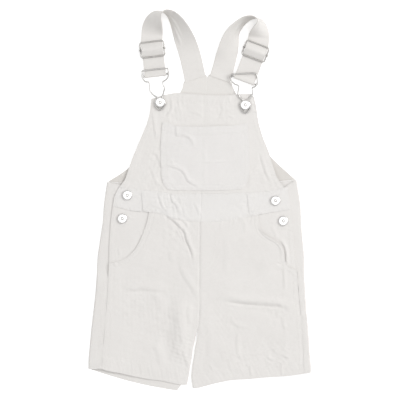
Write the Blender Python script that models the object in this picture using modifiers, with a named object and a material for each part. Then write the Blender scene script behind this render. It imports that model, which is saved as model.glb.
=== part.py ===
"""Child's shortalls laid flat on a table, front up: bib overalls with short legs, in unworn heavy twill.

X runs across, +Y towards the shoulder straps and +Z up from the table. The tables are in millimetres.
Cloth panels are patches between four edge tables, each row (x, y, height of the cloth's middle). Both
neighbours of a seam take the same table, each pulled back by half the seam gap. The back panels lie on
the table and fold up round the sides. Straps are ribbons that run from the slide round the clasp's
crossbar, back up through the slide, over the shoulder and down to the back.
"""

import bmesh
import bpy
import numpy as np

MM = 0.001
CLOTH = 1.0  # one layer of twill
BAND = 1.8  # waistband, folded double
STRAP = 1.2
STRAP_WIDTH = 31.6
SEAM_PULL = 0.18  # each panel ends this far short of a seam line
CENTRE_SHIFT = (0.2, 0.68)  # brings the middle of the whole outline to the origin
WIRE = 1.1  # radius of the hardware wire
BAR_WIRE = 1.02  # radius of its crossbars

# Edges of the front, viewer's left to right and top to bottom: x, y, height of the middle.
BIB_TOP_L = [(-72, 149.5, 2.2), (-62, 152.5, 2.2), (-50.5, 156, 2.3), (-35.5, 158.5, 2.6), (-18, 157.5, 2.9),
             (6.5, 155.5, 3.1)]
BIB_TOP_R = [(6.5, 155.5, 3.1), (32.5, 155, 2.9), (56, 156.5, 2.5), (74, 157, 2.3), (80, 151.5, 2.2)]
BIB_LEFT = [(-72, 149.5, 2.2), (-74.5, 130, 2.3), (-78.5, 114, 2.4), (-84.5, 99, 2.5), (-92, 81.5, 2.6),
            (-100, 62, 2.8), (-106, 44.5, 3.2), (-111.5, 29.5, 4.1), (-120, 18.5, 4.5)]
BIB_RIGHT = [(80, 151.5, 2.2), (83.5, 136, 2.3), (86.5, 115.5, 2.4), (93, 93, 2.5), (100, 75.5, 2.6),
             (104.5, 62, 2.8), (109, 47.5, 3.2), (114.5, 32.5, 4.1), (124.5, 18.5, 4.5)]
BIB_CENTRE = [(6.5, 155.5, 3.1), (7, 109.5, 3.4), (4.5, 59, 4.0), (2, 9.5, 4.8)]
WAIST_TOP_L = [(-120, 18.5, 4.5), (-106.5, 18, 4.6), (-89, 15, 4.7), (-71, 13.5, 4.8), (-56, 12, 4.8),
               (-41.5, 9, 4.8), (-20.5, 9, 4.8), (2, 9.5, 4.8)]
WAIST_TOP_R = [(2, 9.5, 4.8), (26.5, 9.5, 4.8), (50.5, 10.5, 4.8), (71, 11, 4.8), (92, 12, 4.7),
               (109.5, 14, 4.6), (124.5, 18.5, 4.5)]
BAND_TOP_R_END = [(124.5, 18.5, 4.5), (130, 19.5, 4.5)]
BAND_LEFT = [(-120, 18.5, 4.5), (-126, 6, 4.5), (-129, -9, 4.5)]
BAND_RIGHT = [(130, 19.5, 4.5), (131.5, 3, 4.5), (134.5, -14, 4.5)]
BAND_CENTRE = [(2, 9.5, 4.8), (0, -32.5, 4.9)]
BAND_FOOT_L_OUT = [(-129, -9, 4.5), (-115.5, -12.5, 4.6), (-97.5, -16.5, 4.7), (-75.5, -18, 4.8)]
BAND_FOOT_L_IN = [(-75.5, -18, 4.8), (-59, -20.5, 4.8), (-41.5, -26.5, 4.8), (-20.5, -30.5, 4.8),
                  (0, -32.5, 4.9)]
BAND_FOOT_R_IN = [(0, -32.5, 4.9), (18, -32.5, 4.8), (38.5, -30.5, 4.8), (59, -27, 4.8), (77, -24.5, 4.8),
                  (86.5, -22, 4.8)]
BAND_FOOT_R_OUT = [(86.5, -22, 4.8), (94.5, -20.5, 4.7), (115.5, -17, 4.6), (134.5, -14, 4.5)]
LEG_TOP_L = [(-75.5, -18, 5.7), (-59, -20.5, 5.6), (-41.5, -26.5, 5.2), (-20.5, -30.5, 5.0), (0, -32.5, 4.9)]
LEG_TOP_R = [(0, -32.5, 4.9), (18, -32.5, 5.0), (38.5, -30.5, 5.1), (59, -27, 5.4), (77, -24.5, 5.7),
             (86.5, -22, 5.7)]
SCOOP_L = [(-75.5, -18, 5.7), (-77.5, -29.5, 5.7), (-83, -46, 5.7), (-89, -60.5, 5.7), (-97, -74, 5.7),
           (-108, -84.5, 5.7), (-121.5, -91, 5.7), (-134.5, -93, 5.7)]
SCOOP_R = [(86.5, -22, 5.7), (88, -34, 6.1), (91, -46, 6.7), (99, -53, 7.2), (110, -59, 7.3), (119, -67, 7.2),
           (124, -78, 6.9), (126, -90, 6.4), (132, -98.5, 5.9), (143, -102, 5.7)]
SIDE_L = [(-134.5, -93, 5.7), (-135.2, -106, 5.5), (-135.8, -118.5, 4.9), (-137.3, -148, 4.5),
          (-140, -177.5, 4.5), (-142, -204, 4.5), (-144, -225, 4.5), (-145, -250, 4.5)]
SIDE_R = [(143, -102, 5.7), (144, -115, 5.4), (145, -126, 4.8), (147.5, -155.5, 4.5), (149.5, -174.5, 4.5),
          (151.5, -200, 4.5), (152.8, -225, 4.5), (154, -257, 4.5)]
CENTRE_UPPER = [(0, -32.5, 4.9), (-0.5, -74, 4.8), (-1, -108, 4.7)]
CENTRE_LOWER = [(-1, -108, 4.7), (-0.5, -148, 4.5), (-1, -170, 4.1), (-3.5, -191, 3.2)]
INSEAM_L = [(-3.5, -191, 3.2), (-7, -204, 2.4), (-10, -217.5, 2.0), (-12, -232.5, 1.9), (-14.5, -247, 1.9),
            (-16.5, -260.5, 1.9), (-19, -273.5, 1.9)]
INSEAM_R = [(-3.5, -191, 3.2), (-4.7, -204, 2.4), (-7.5, -217.5, 2.0), (-9.5, -232.5, 1.9), (-12, -247, 1.9),
            (-13, -262, 1.9), (-11, -278, 1.9)]
HEM_L = [(-145, -250, 4.5), (-133, -253.5, 4.2), (-118.5, -256, 3.4), (-97.5, -261, 2.5), (-77, -265, 2.1),
         (-59, -267, 2.0), (-44.5, -270, 1.9), (-29.5, -273, 1.9), (-19, -273.5, 1.9)]
HEM_R = [(-11, -278, 1.9), (-3, -278, 1.9), (9, -275, 1.9), (26.5, -270.5, 2.0), (47.5, -266.5, 2.1),
         (71, -265, 2.2), (92, -263, 2.5), (112.5, -261.5, 3.1), (133, -260, 3.9), (154, -257, 4.5)]

# Hip pieces that show inside the scoop pockets and carry the side opening's buttonhole edge.
HIP_TOP_L = [(-129, -9, 4.1), (-115.5, -12.5, 4.1), (-97.5, -16.5, 4.1), (-75.5, -18.4, 4.1),
             (-59, -22.5, 4.1)]
HIP_OUTER_L = [(-129, -9, 4.1), (-131.5, -26.5, 4.1), (-133, -47.5, 4.1), (-134.3, -71, 4.1),
               (-134.3, -101, 4.0)]
HIP_INNER_L = [(-59, -22.5, 4.1), (-63.5, -37, 4.1), (-71, -56, 4.1), (-83, -75.5, 4.1), (-97, -89, 4.0),
               (-112.5, -98, 4.0)]
HIP_FOOT_L = [(-134.3, -101, 4.0), (-112.5, -98, 4.0)]
HIP_TOP_R = [(69.5, -27.5, 4.1), (86.5, -22.4, 4.1), (94.5, -20.5, 4.1), (115.5, -17, 4.1),
             (134.5, -14, 4.1)]
HIP_INNER_R = [(69.5, -27.5, 4.1), (72.5, -44.5, 4.1), (83, -63.5, 4.1), (97.5, -80, 4.1), (109, -92, 4.0),
               (120, -102, 4.0)]
HIP_OUTER_R = [(134.5, -14, 4.1), (137.5, -32.5, 4.1), (139, -59, 4.1), (141.5, -81.5, 4.1),
               (142.6, -106, 4.0)]
HIP_FOOT_R = [(120, -102, 4.0), (142.6, -106, 4.0)]

# Bib pocket: x, y.
POCKET_TOP = [(-55.5, 115), (-47.5, 114.5), (-35.5, 109.5), (-15, 108.5), (7.5, 108.5), (29.5, 109.5),
              (53.5, 110.5), (70.5, 114.5)]
POCKET_LEFT = [(-55.5, 115), (-57.5, 93), (-58.5, 71), (-57.5, 50.5), (-56.5, 32.5), (-52.5, 21), (-46, 15)]
POCKET_RIGHT = [(70.5, 114.5), (72.5, 89), (73.5, 59), (73, 37), (69, 24), (62, 16)]
POCKET_FOOT = [(-46, 15), (-22, 14), (7.5, 14), (37, 14.5), (62, 16)]
POCKET_LIFT = 1.35

# Back bib, flat on the table: x, y.
BACK_TOP_L = [(-24, 175), (9, 186)]
BACK_TOP_R = [(13.4, 186), (46.8, 174.2)]
BACK_SIDE_L = [(-24, 175), (-26, 166), (-29.5, 158.5), (-38.5, 142), (-52, 118.5), (-66.5, 93), (-83, 69.5),
               (-102, 50.5), (-117, 39), (-136, 27.2)]
BACK_SIDE_R = [(46.8, 174.2), (49, 166), (54, 156), (62, 140.5), (74, 115.5), (86, 90.5), (97.5, 73.5),
               (105, 63.5), (120, 49), (141, 30.1)]
BACK_CENTRE_L = [(9, 186), (10.3, 181.5), (9, 155.5), (6, 103.5), (2, 15.8)]
BACK_CENTRE_R = [(13.4, 186), (10.9, 181.5), (9, 155.5), (6, 103.5), (2, 15.8)]
BACK_FOOT_L = [(-136, 27.2), (2, 15.8)]
BACK_FOOT_R = [(2, 15.8), (141, 30.1)]

# Back legs, one row per section down the leg: inner edge x, y; outermost contour x, y;
# free or seamed edge of the part folded to the front x, y, height.
BACK_LEG_L = [
    (2, 15, -137.5, 26.5, -97.5, 18, 2.9),
    (0.5, -7.5, -142, -6, -100.5, -10.5, 2.9),
    (-0.5, -32.5, -144, -32.5, -105, -35.5, 2.9),
    (-0.5, -59, -148, -59, -111, -60.5, 2.9),
    (-1, -80, -151, -80, -121, -80, 2.9),
    (-1, -92, -152, -92, -130, -92, 2.9),
    (-1, -103, -152.4, -103, -135.4, -103, 2.9),
    (-1, -111, -152.8, -111, -136, -111, 3.7),
    (-1, -120, -153.3, -120, -136.4, -120, 4.4),
    (-1, -140, -155, -140, -137.4, -140, 4.5),
    (-1.2, -165, -157.7, -165, -139.3, -165, 4.5),
    (-4, -191, -160.7, -191, -141.6, -191, 4.5),
    (-9, -214.5, -163, -214, -143.5, -214, 4.5),
    (-15, -240, -164.7, -234, -144.9, -232, 4.5),
    (-23.5, -266, -165, -245, -145.4, -243.5, 4.5),
    (-33.5, -282, -165, -249.5, -145.6, -249.8, 4.5),
]
BACK_HEM_SAG_L = 3.5  # the back hem line bows down between its ends
BACK_LEG_R = [
    (2, 15, 143, 29.5, 99, 15, 2.9),
    (0.5, -7.5, 148.5, -6, 100.5, -9, 2.9),
    (-0.5, -32.5, 150, -32.5, 108, -32.5, 2.9),
    (-0.5, -59, 152, -59, 120, -59, 2.9),
    (-1, -80, 154, -80, 130, -80, 2.9),
    (-1, -98, 154.3, -98, 138.5, -98, 2.9),
    (-1, -108, 154.5, -108, 143.8, -108, 2.9),
    (-1, -117, 154.8, -117, 144.9, -117, 3.7),
    (-1, -127, 155.3, -127, 145.8, -127, 4.4),
    (-1, -145, 156.4, -145, 147.2, -145, 4.5),
    (-1.2, -165, 157.8, -165, 149.1, -165, 4.5),
    (-2, -191, 160.3, -191, 151.3, -191, 4.5),
    (-6, -214.5, 161.5, -214, 152.8, -214, 4.5),
    (-9, -237, 163.4, -237, 153.8, -237, 4.5),
    (-11, -259, 164.6, -249, 154.3, -249, 4.5),
    (-10.5, -276, 164.6, -255.5, 154.6, -256.8, 4.5),
]
BACK_HEM_SAG_R = -6

# Soft folds: path, height (+ ridge, - trough), half-width.
LOWER_FOLDS = [
    ([(-59, 6), (-50.5, -7.5), (-41.5, -20.5), (-32.5, -32.5), (-22, -46), (-19, -60.5),
      (-13.5, -78.5)], 0.9, 6),
    ([(-44.5, 7.5), (-41.5, -4.5), (-34, -16.5), (-32.5, -26.5)], -0.5, 5),
    ([(-52, -63.5), (-37, -92), (-18, -120), (-4.5, -139)], -0.7, 10),
    ([(-114, -133), (-81.5, -133), (-47.5, -136)], -0.5, 8),
    ([(-52, -185), (-50.5, -207), (-53.5, -225)], -0.6, 12),
    ([(19, -151), (44.5, -152.5), (74, -156), (111, -157), (131.5, -164.5)], -0.8, 9),
    ([(20, -139), (60, -141), (110, -146)], 0.5, 9),
    ([(43, -166), (47.5, -180.5), (59, -188), (74, -192.5)], -0.6, 7),
    ([(56, -192.5), (53.5, -214.5), (60.5, -238.5)], -0.6, 8),
    ([(69.5, -231), (89, -229.5), (103.5, -226.5), (118.5, -232.5), (131.5, -235.5)], -0.6, 8),
    ([(92, -200), (110, -206), (128, -204)], 0.5, 10),
]
BIB_FOLDS = [
    ([(-70, 116), (-69, 92)], -0.3, 5),
    ([(92, 59), (94.5, 41.5), (103.5, 26.5)], 0.7, 6),
    ([(15, 124), (37, 127), (59, 126)], 0.4, 6),
]
POCKET_FOLDS = [
    ([(-43, 50.5), (-29.5, 44.5), (-23.5, 34), (-13.5, 22)], 0.9, 6),
    ([(-34, 96), (-20.5, 92), (-12, 84.5)], 0.8, 6),
    ([(-6, 59), (47.5, 59)], 0.4, 5),
]

# Shoulder loops, from above the slide to the back's top edge: x, y, roll of the band in degrees.
LOOP_L = [(-71, 242.5, 0), (-70.7, 250, 8), (-69.5, 260, 27), (-66.5, 268.5, 45), (-61, 275, 66),
          (-54.7, 278, 90), (-47.5, 276.3, 105), (-40.5, 271, 118), (-34, 262, 131), (-28, 250, 146),
          (-21.5, 234, 164), (-15.8, 217.5, 176), (-11.3, 199.5, 180), (-7.75, 181.3, 180)]
LOOP_R = [(86.6, 238, 3), (88.6, 248, 30), (89.4, 257, 54), (88, 264.5, 74), (82.5, 268.8, 90),
          (75, 269, 99), (67.5, 266.5, 106), (60.5, 261.5, 112), (53.5, 254, 119), (47.8, 245, 132),
          (44, 232.5, 149), (40.6, 219, 163), (37, 205, 176), (33.6, 192.5, 180), (30.1, 181.1, 180)]
END_DIRECTION_L = (33.0, 11.0)  # line of the back's top edge that the strap is sewn to
END_DIRECTION_R = (33.4, -11.8)
BAR_L, SLIDE_L = (-66, 184.5), (-70.5, 223)  # middle of the clasp's crossbar and of the slide's
BAR_R, SLIDE_R = (65.5, 177), (82, 220)
LIFT_L, LIFT_R = 0.0, 1.6  # the right clasp lies on the edge of the right back strap
SLIDE_SIZE = (37.6, 24.7)
SLIDE_HEIGHT = 4.4
CROSSBAR_HEIGHT = 2.6
CROSSBAR_HALF = 18.4
BUMP = 1.9

# Clasp wire, once round from the top bar's left end: x, y, height.
CLASP_L = [(-83, 191.2, 4.4), (-50.5, 194.7, 4.4), (-47, 192, 4.4), (-46.2, 186.5, 4.4), (-47.5, 181.5, 4.4),
           (-50.5, 177.5, 4.4), (-55, 174.5, 4.4), (-54, 170, 4.5), (-52.5, 166, 4.5), (-53.5, 160.5, 4.5),
           (-55, 155.5, 4.5), (-55.8, 151, 4.6), (-51.5, 145, 4.8), (-52.5, 139, 4.8), (-59, 133, 4.8),
           (-65.5, 138.5, 4.8), (-66.5, 144.5, 4.8), (-62.8, 151, 4.6), (-68, 154.5, 4.5), (-72.5, 159, 4.5),
           (-74.5, 164.5, 4.5), (-74.5, 169.5, 4.5), (-75.5, 174, 4.4), (-80.5, 175, 4.4), (-84, 178.5, 4.4),
           (-85.3, 183, 4.4), (-85, 188, 4.4)]
CLASP_R = [(49.8, 186.2, 7.4), (65, 187, 6.9), (80, 187.3, 6.4), (84, 184.5, 6.1), (85, 178.5, 6.0),
           (84.8, 172.5, 5.9), (82, 168, 5.8), (77.5, 165.5, 5.7), (78, 160.5, 5.5), (77, 155.5, 5.4),
           (73.5, 150.5, 5.2), (70.3, 147.5, 5.1), (74.5, 141.5, 5.0), (73.5, 134.5, 5.0), (68, 128.5, 5.0),
           (61.5, 133, 5.0), (59, 140, 5.0), (63.3, 147, 5.1), (59, 151.5, 5.2), (56.5, 157.5, 5.4),
           (57, 164.5, 5.5), (57, 169, 5.6), (52, 171, 5.8), (47, 175.5, 5.9), (45.2, 181, 6.2),
           (46.5, 185, 6.9)]

# Buttons: x, y; shank buttons 15 mm across.
BIB_BUTTONS = {"bib_button_left": (-59, 144.5), "bib_button_right": (66.8, 140.5)}
SIDE_BUTTONS = {
    "side_button_left_upper": (-107.5, 7),
    "side_button_left_lower": (-115, -27.5),
    "side_button_right_upper": (111.5, -1),
    "side_button_right_lower": (123, -31),
}
BUTTON_RADIUS = 7.5
SHANK_RADIUS = 3.0

# Belt loops: middle of the top end and of the foot, width.
BELT_LOOPS = {
    "belt_loop_left": ((-83.2, 13.6), (-81, -16), 6.6),
    "belt_loop_right": ((74, 9.8), (77.5, -23), 8.6),
}


# Shaping helpers.
def smooth(table, count):
    """count + 1 points evenly spaced on the smooth curve through the table's rows."""
    rows = np.array(table, float)
    if len(rows) > 2:
        ends = np.vstack([2 * rows[0] - rows[1], rows, 2 * rows[-1] - rows[-2]])
        a, b, c, d = ends[:-3, None], ends[1:-2, None], ends[2:-1, None], ends[3:, None]
        t = np.linspace(0, 1, 24, endpoint=False)[None, :, None]
        spline = 0.5 * (2 * b + (c - a) * t + (2 * a - 5 * b + 4 * c - d) * t**2
                        + (3 * b - a - 3 * c + d) * t**3)
        rows = np.vstack([spline.reshape(-1, rows.shape[1]), rows[-1]])
    run = np.concatenate([[0], np.cumsum(np.linalg.norm(np.diff(rows[:, :2], axis=0), axis=1))])
    at = np.linspace(0, run[-1], count + 1)
    return np.stack([np.interp(at, run, column) for column in rows.T], axis=1)


def straight(table, count):
    """count + 1 points evenly spaced on the straight lines between the table's rows."""
    rows = np.array(table, float)
    run = np.concatenate([[0], np.cumsum(np.linalg.norm(np.diff(rows, axis=0), axis=1))])
    at = np.linspace(0, run[-1], count + 1)
    return np.stack([np.interp(at, run, column) for column in rows.T], axis=1)


def joined(*runs):
    return np.vstack([run[:-1] for run in runs[:-1]] + [runs[-1]])


def patch(top, foot, left, right):
    """Surface between four edges: rows run from top to foot, columns from left to right."""
    u = np.linspace(0, 1, len(top))[None, :, None]
    v = np.linspace(0, 1, len(left))[:, None, None]
    ruled = (1 - v) * top[None] + v * foot[None] + (1 - u) * left[:, None] + u * right[:, None]
    corners = (1 - u) * (1 - v) * top[0] + u * (1 - v) * top[-1] + (1 - u) * v * foot[0] + u * v * foot[-1]
    return ruled - corners


def pulled_in(grid, amount=SEAM_PULL):
    """The grid with each edge moved inwards in plan."""
    moved = grid.copy()
    for edge, inner in (
        ((0, slice(None)), (1, slice(None))),
        ((-1, slice(None)), (-2, slice(None))),
        ((slice(None), 0), (slice(None), 1)),
        ((slice(None), -1), (slice(None), -2)),
    ):
        line = grid[edge][:, :2]
        along = np.gradient(line, axis=0)
        across = np.stack([-along[:, 1], along[:, 0]], axis=1)
        across /= np.linalg.norm(across, axis=1)[:, None]
        side = np.sign(np.sum(across * (grid[inner][:, :2] - line), axis=1, keepdims=True))
        moved[edge] += np.pad(across * side * amount, ((0, 0), (0, grid.shape[2] - 2)))
    return moved


def fold_height(x, y, folds):
    """Height added at (x, y): each fold is a bell across its path, fading over the path's end."""
    total = np.zeros_like(x)
    for path, height, half_width in folds:
        path = np.array(path, float)
        nearest = np.full(x.shape, 1e9)
        for start, end in zip(path[:-1], path[1:]):
            step = end - start
            t = np.clip(((x - start[0]) * step[0] + (y - start[1]) * step[1]) / (step @ step), 0, 1)
            nearest = np.minimum(nearest, np.hypot(x - start[0] - t * step[0], y - start[1] - t * step[1]))
        total += height * np.exp(-((nearest / half_width) ** 2))
    return total


def folded(grid, folds):
    """The grid with folds added, none of them at its edges, which are sewn or lie on other pieces."""
    raised = grid.copy()
    inside = raised[1:-1, 1:-1]
    inside[..., 2] += fold_height(inside[..., 0], inside[..., 1], folds)
    return raised


def height_on(grid, x, y):
    """Height of the grid's triangles at points in plan."""
    a, b = grid[:-1, :-1].reshape(-1, 3), grid[:-1, 1:].reshape(-1, 3)
    c, d = grid[1:, 1:].reshape(-1, 3), grid[1:, :-1].reshape(-1, 3)
    corners = np.stack([np.vstack([a, a]), np.vstack([b, c]), np.vstack([c, d])], axis=1)
    p, q, r = corners[:, 0], corners[:, 1], corners[:, 2]
    area = (q[:, 0] - p[:, 0]) * (r[:, 1] - p[:, 1]) - (r[:, 0] - p[:, 0]) * (q[:, 1] - p[:, 1])
    x, y = np.asarray(x, float), np.asarray(y, float)
    px, py = x.reshape(-1, 1), y.reshape(-1, 1)
    at_q = ((px - p[:, 0]) * (r[:, 1] - p[:, 1]) - (r[:, 0] - p[:, 0]) * (py - p[:, 1])) / area
    at_r = ((q[:, 0] - p[:, 0]) * (py - p[:, 1]) - (px - p[:, 0]) * (q[:, 1] - p[:, 1])) / area
    best = np.argmax(np.minimum(np.minimum(at_q, at_r), 1 - at_q - at_r), axis=1)
    pick = np.arange(len(px))
    wq, wr = at_q[pick, best], at_r[pick, best]
    height = (1 - wq - wr) * p[best, 2] + wq * q[best, 2] + wr * r[best, 2]
    return height.reshape(x.shape)


# Objects.
def fresh_collection(name, shown=True):
    collection = bpy.data.collections.new(name)
    bpy.context.scene.collection.children.link(collection)
    collection.hide_render = not shown
    return collection


def material(name, colour, metallic=0.0, roughness=0.85):
    made = bpy.data.materials.new(name)
    made.use_nodes = True
    shader = made.node_tree.nodes["Principled BSDF"]
    shader.inputs["Base Color"].default_value = (*colour, 1)
    shader.inputs["Metallic"].default_value = metallic
    shader.inputs["Roughness"].default_value = roughness
    return made


def mesh_object(name, points, faces, collection, look=None):
    mesh = bpy.data.meshes.new(name)
    mesh.from_pydata((np.asarray(points) * MM).tolist(), [], faces)
    made = bpy.data.objects.new(name, mesh)
    collection.objects.link(made)
    if look:
        mesh.materials.append(look)
    return made


def sheet(name, grid, thickness, look):
    """Panel of cloth: the grid is its middle surface, and Solidify gives it its thickness."""
    rows, columns = grid.shape[:2]
    index = np.arange(rows * columns).reshape(rows, columns)
    quads = np.stack([index[:-1, :-1], index[1:, :-1], index[1:, 1:], index[:-1, 1:]], axis=-1)
    made = mesh_object(name, grid.reshape(-1, 3), quads.reshape(-1, 4).tolist(), GARMENT, look)
    solidify = made.modifiers.new("thickness", "SOLIDIFY")
    solidify.thickness = thickness * MM
    solidify.offset = 0
    return made


def wire(name, points, radius, closed, collection, look=None):
    """Round wire through the points, as a mesh."""
    curve = bpy.data.curves.new(name + "_path", "CURVE")
    curve.dimensions = "3D"
    curve.bevel_depth = radius * MM
    curve.bevel_resolution = 2
    curve.use_fill_caps = not closed
    spline = curve.splines.new("POLY")
    spline.points.add(len(points) - 1)
    for point, place in zip(spline.points, points):
        point.co = (*(np.array(place) * MM), 1)
    spline.use_cyclic_u = closed
    path = bpy.data.objects.new(name + "_path", curve)
    GARMENT.objects.link(path)
    mesh = bpy.data.meshes.new_from_object(path)
    bpy.data.objects.remove(path)
    mesh.name = name
    welded = bmesh.new()
    welded.from_mesh(mesh)
    bmesh.ops.remove_doubles(welded, verts=welded.verts, dist=1e-6)
    bmesh.ops.recalc_face_normals(welded, faces=welded.faces)
    welded.to_mesh(mesh)
    welded.free()
    made = bpy.data.objects.new(name, mesh)
    collection.objects.link(made)
    if look:
        mesh.materials.clear()
        mesh.materials.append(look)
    return made


def ball(name, centre, radius):
    mesh = bpy.data.meshes.new(name)
    shape = bmesh.new()
    bmesh.ops.create_icosphere(shape, subdivisions=2, radius=radius * MM)
    bmesh.ops.translate(shape, verts=shape.verts, vec=[value * MM for value in centre])
    shape.to_mesh(mesh)
    shape.free()
    made = bpy.data.objects.new(name, mesh)
    CUTTERS.objects.link(made)
    return made


def unite(target, others):
    for other in others:
        other.display_type = "WIRE"
        other.hide_render = True
        union = target.modifiers.new("with_" + other.name, "BOOLEAN")
        union.operation = "UNION"
        union.solver = "EXACT"
        union.object = other


def turned(name, profile, x, y, look, steps=14):
    """Solid turned about the vertical through (x, y). The profile runs from the top's middle down."""
    mesh = bpy.data.meshes.new(name)
    mesh.from_pydata([(radius * MM, 0, height * MM) for radius, height in profile],
                     [(i, i + 1) for i in range(len(profile) - 1)], [])
    mesh.materials.append(look)
    made = bpy.data.objects.new(name, mesh)
    made.location = (x * MM, y * MM, 0)
    GARMENT.objects.link(made)
    screw = made.modifiers.new("turn", "SCREW")
    screw.steps = screw.render_steps = steps
    screw.use_merge_vertices = True
    screw.merge_threshold = 0.00001
    return made


# Straps and hardware.
ON_TABLE = STRAP / 2  # middle of a strap layer that lies on the table
WIRE_GAP = 0.2  # between a wire and the cloth round it
LAYER_GAP = 0.3  # between two layers of strap
EDGE_PUFF = 0.4  # how far a band that stands on its edge is lifted
LEAVING_HEIGHT, LEAVING_RUN = 1.9, 16  # the strap comes off the slide this high and is down after this run
STITCHED_END = 3.0  # length of the sewn end above the slide's bar
LOOP_SECTIONS = 31
SLIDE_CORNER = 3.2
FULL_WAY, FINE_STEPS = 44, 400  # points round a clasp, and on a curve before it is resampled
BUTTON_CAP = [(0, 2.1), (2.0, 2.0), (4.2, 1.6), (5.6, 1.9), (6.9, 1.8), (BUTTON_RADIUS, 1.0),
              (BUTTON_RADIUS - 0.4, 0.2)]  # radius, height over the cap's foot


def on_circle(centre, radius, degrees):
    """Points (along, height) round a bar seen from its end."""
    turn = np.radians(degrees)
    return [(centre[0] + radius * np.cos(a), centre[1] + radius * np.sin(a)) for a in turn]


def strap(name, turn, loop, end_direction, bar, slide, lift, look):
    """Ribbon from its sewn end on the slide's bar, round the clasp's crossbar, up and over the shoulder.

    turn is 1 where the band's leading edge lies to the right of its run and -1 where it lies to the left.
    """
    bar, slide = np.array(bar, float), np.array(slide, float)
    length = np.linalg.norm(slide - bar)
    axis = (slide - bar) / length
    wrap = WIRE + WIRE_GAP + STRAP / 2  # middle of the first layer round a wire
    outer_wrap = wrap + STRAP + LAYER_GAP
    rail = SLIDE_SIZE[1] / 2 - WIRE
    middle_bar, low_rail, high_rail = [(length + shift, SLIDE_HEIGHT) for shift in (0, -rail, rail)]
    # Each row is (distance from the crossbar, height), following the band through the hardware.
    side = [(length - STITCHED_END, 3.45)]
    side += on_circle(middle_bar, wrap, [150, 120, 90, 60, 30, 0, -30, -60, -90])
    side += [(length - STITCHED_END, 2.05), (length - 7, 1.0), (length - 11, ON_TABLE),
             (length / 2, ON_TABLE), (5, ON_TABLE)]
    side += on_circle((0, CROSSBAR_HEIGHT), CROSSBAR_HEIGHT - ON_TABLE,
                      [-90, -120, -150, -180, -210, -240, -270])
    side += [(2.2, 4.05), (4.5, 3.1), (8, 2.4), (14, 2.3), (length - rail - 4, 2.3)]
    side += on_circle(low_rail, wrap, [-90, -60, -35])
    side += on_circle(middle_bar, outer_wrap, [120, 90, 60])
    side += on_circle(high_rail, wrap, [-145, -120, -90])
    straight_run = np.array([(*(bar + axis * s), z + lift) for s, z in side])
    straight_width = np.tile([axis[1] * turn, -axis[0] * turn, 0], (len(side), 1))

    exit_row = [*(slide + axis * rail), 0]
    dense = smooth([exit_row, *loop], FINE_STEPS)
    spots = np.linspace(0.03, 1, LOOP_SECTIONS)
    line = np.stack([np.interp(spots, np.linspace(0, 1, FINE_STEPS + 1), column) for column in dense.T],
                    axis=1)
    travelled = spots * np.linalg.norm(np.diff(dense[:, :2], axis=0), axis=1).sum()
    along = np.gradient(line[:, :2], axis=0)
    along /= np.linalg.norm(along, axis=1)[:, None]
    roll = np.radians(line[:, 2])
    loop_width = np.stack([along[:, 1] * turn * np.cos(roll), -along[:, 0] * turn * np.cos(roll),
                           np.sin(roll)], axis=1)
    end = np.array(end_direction) / np.linalg.norm(end_direction)
    loop_width[-1, :2] = end * np.sign(end @ loop_width[-1, :2])
    standing = (STRAP_WIDTH / 2 * np.sin(roll) + STRAP / 2 * np.abs(np.cos(roll))
                + EDGE_PUFF * np.sqrt(np.abs(np.sin(roll))))
    leaving = STRAP / 2 + (LEAVING_HEIGHT + lift) * np.clip(1 - travelled / LEAVING_RUN, 0, 1)
    loop_run = np.column_stack([line[:, :2], np.maximum(standing, leaving)])

    centres = np.vstack([straight_run, loop_run])[:, None]
    widths = np.vstack([straight_width, loop_width])[:, None]
    reach = np.array([-1, 0, 1])[None, :, None] * STRAP_WIDTH / 2
    return sheet(name, centres + reach * widths, STRAP, look)


def slide_buckle(name, bar, slide, lift, look):
    """Three-bar slide: a rounded frame of wire with a middle bar whose ends stand out as small bumps."""
    bar, slide = np.array(bar, float), np.array(slide, float)
    axis = (slide - bar) / np.linalg.norm(slide - bar)
    sideways = np.array([axis[1], -axis[0]])
    half_width, half_height = SLIDE_SIZE[0] / 2 - WIRE, SLIDE_SIZE[1] / 2 - WIRE
    outline = []
    for sx, sy, start in ((1, 1, 0), (-1, 1, 90), (-1, -1, 180), (1, -1, 270)):
        for step in (0, 30, 60, 90):
            a = np.radians(start + step)
            outline.append((sx * (half_width - SLIDE_CORNER) + SLIDE_CORNER * np.cos(a),
                            sy * (half_height - SLIDE_CORNER) + SLIDE_CORNER * np.sin(a)))
    height = SLIDE_HEIGHT + lift
    placed = [(*(slide + sideways * u + axis * v), height) for u, v in outline]
    frame = wire(name, placed, WIRE, True, GARMENT, look)
    ends = [(*(slide + sideways * u), height) for u in (-half_width - 0.3, half_width + 0.3)]
    unite(frame, [wire(name + "_bar", ends, BAR_WIRE, False, CUTTERS)]
          + [ball(f"{name}_bump_{i}", (*(slide + sideways * u), height + 0.1), BUMP)
             for i, u in enumerate((-half_width - 0.43, half_width + 0.43))])
    return frame


def clasp(name, outline, bar, slide, lift, look):
    """Bib clasp: one bent wire with a strap opening above, a button eye below and a riveted crossbar."""
    bar, slide = np.array(bar, float), np.array(slide, float)
    axis = (slide - bar) / np.linalg.norm(slide - bar)
    sideways = np.array([axis[1], -axis[0]])
    frame = wire(name, rounded(outline, FULL_WAY), WIRE, True, GARMENT, look)
    ends = [(*(bar + sideways * u), CROSSBAR_HEIGHT + lift) for u in (-CROSSBAR_HALF, CROSSBAR_HALF)]
    bumps = [ball(f"{name}_bump_{i}", (*(bar + sideways * u), CROSSBAR_HEIGHT + 1.0 + lift), BUMP)
             for i, u in enumerate((-CROSSBAR_HALF - 0.4, CROSSBAR_HALF + 0.4))]
    unite(frame, [wire(name + "_crossbar", ends, BAR_WIRE, False, CUTTERS)] + bumps)
    return frame


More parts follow.
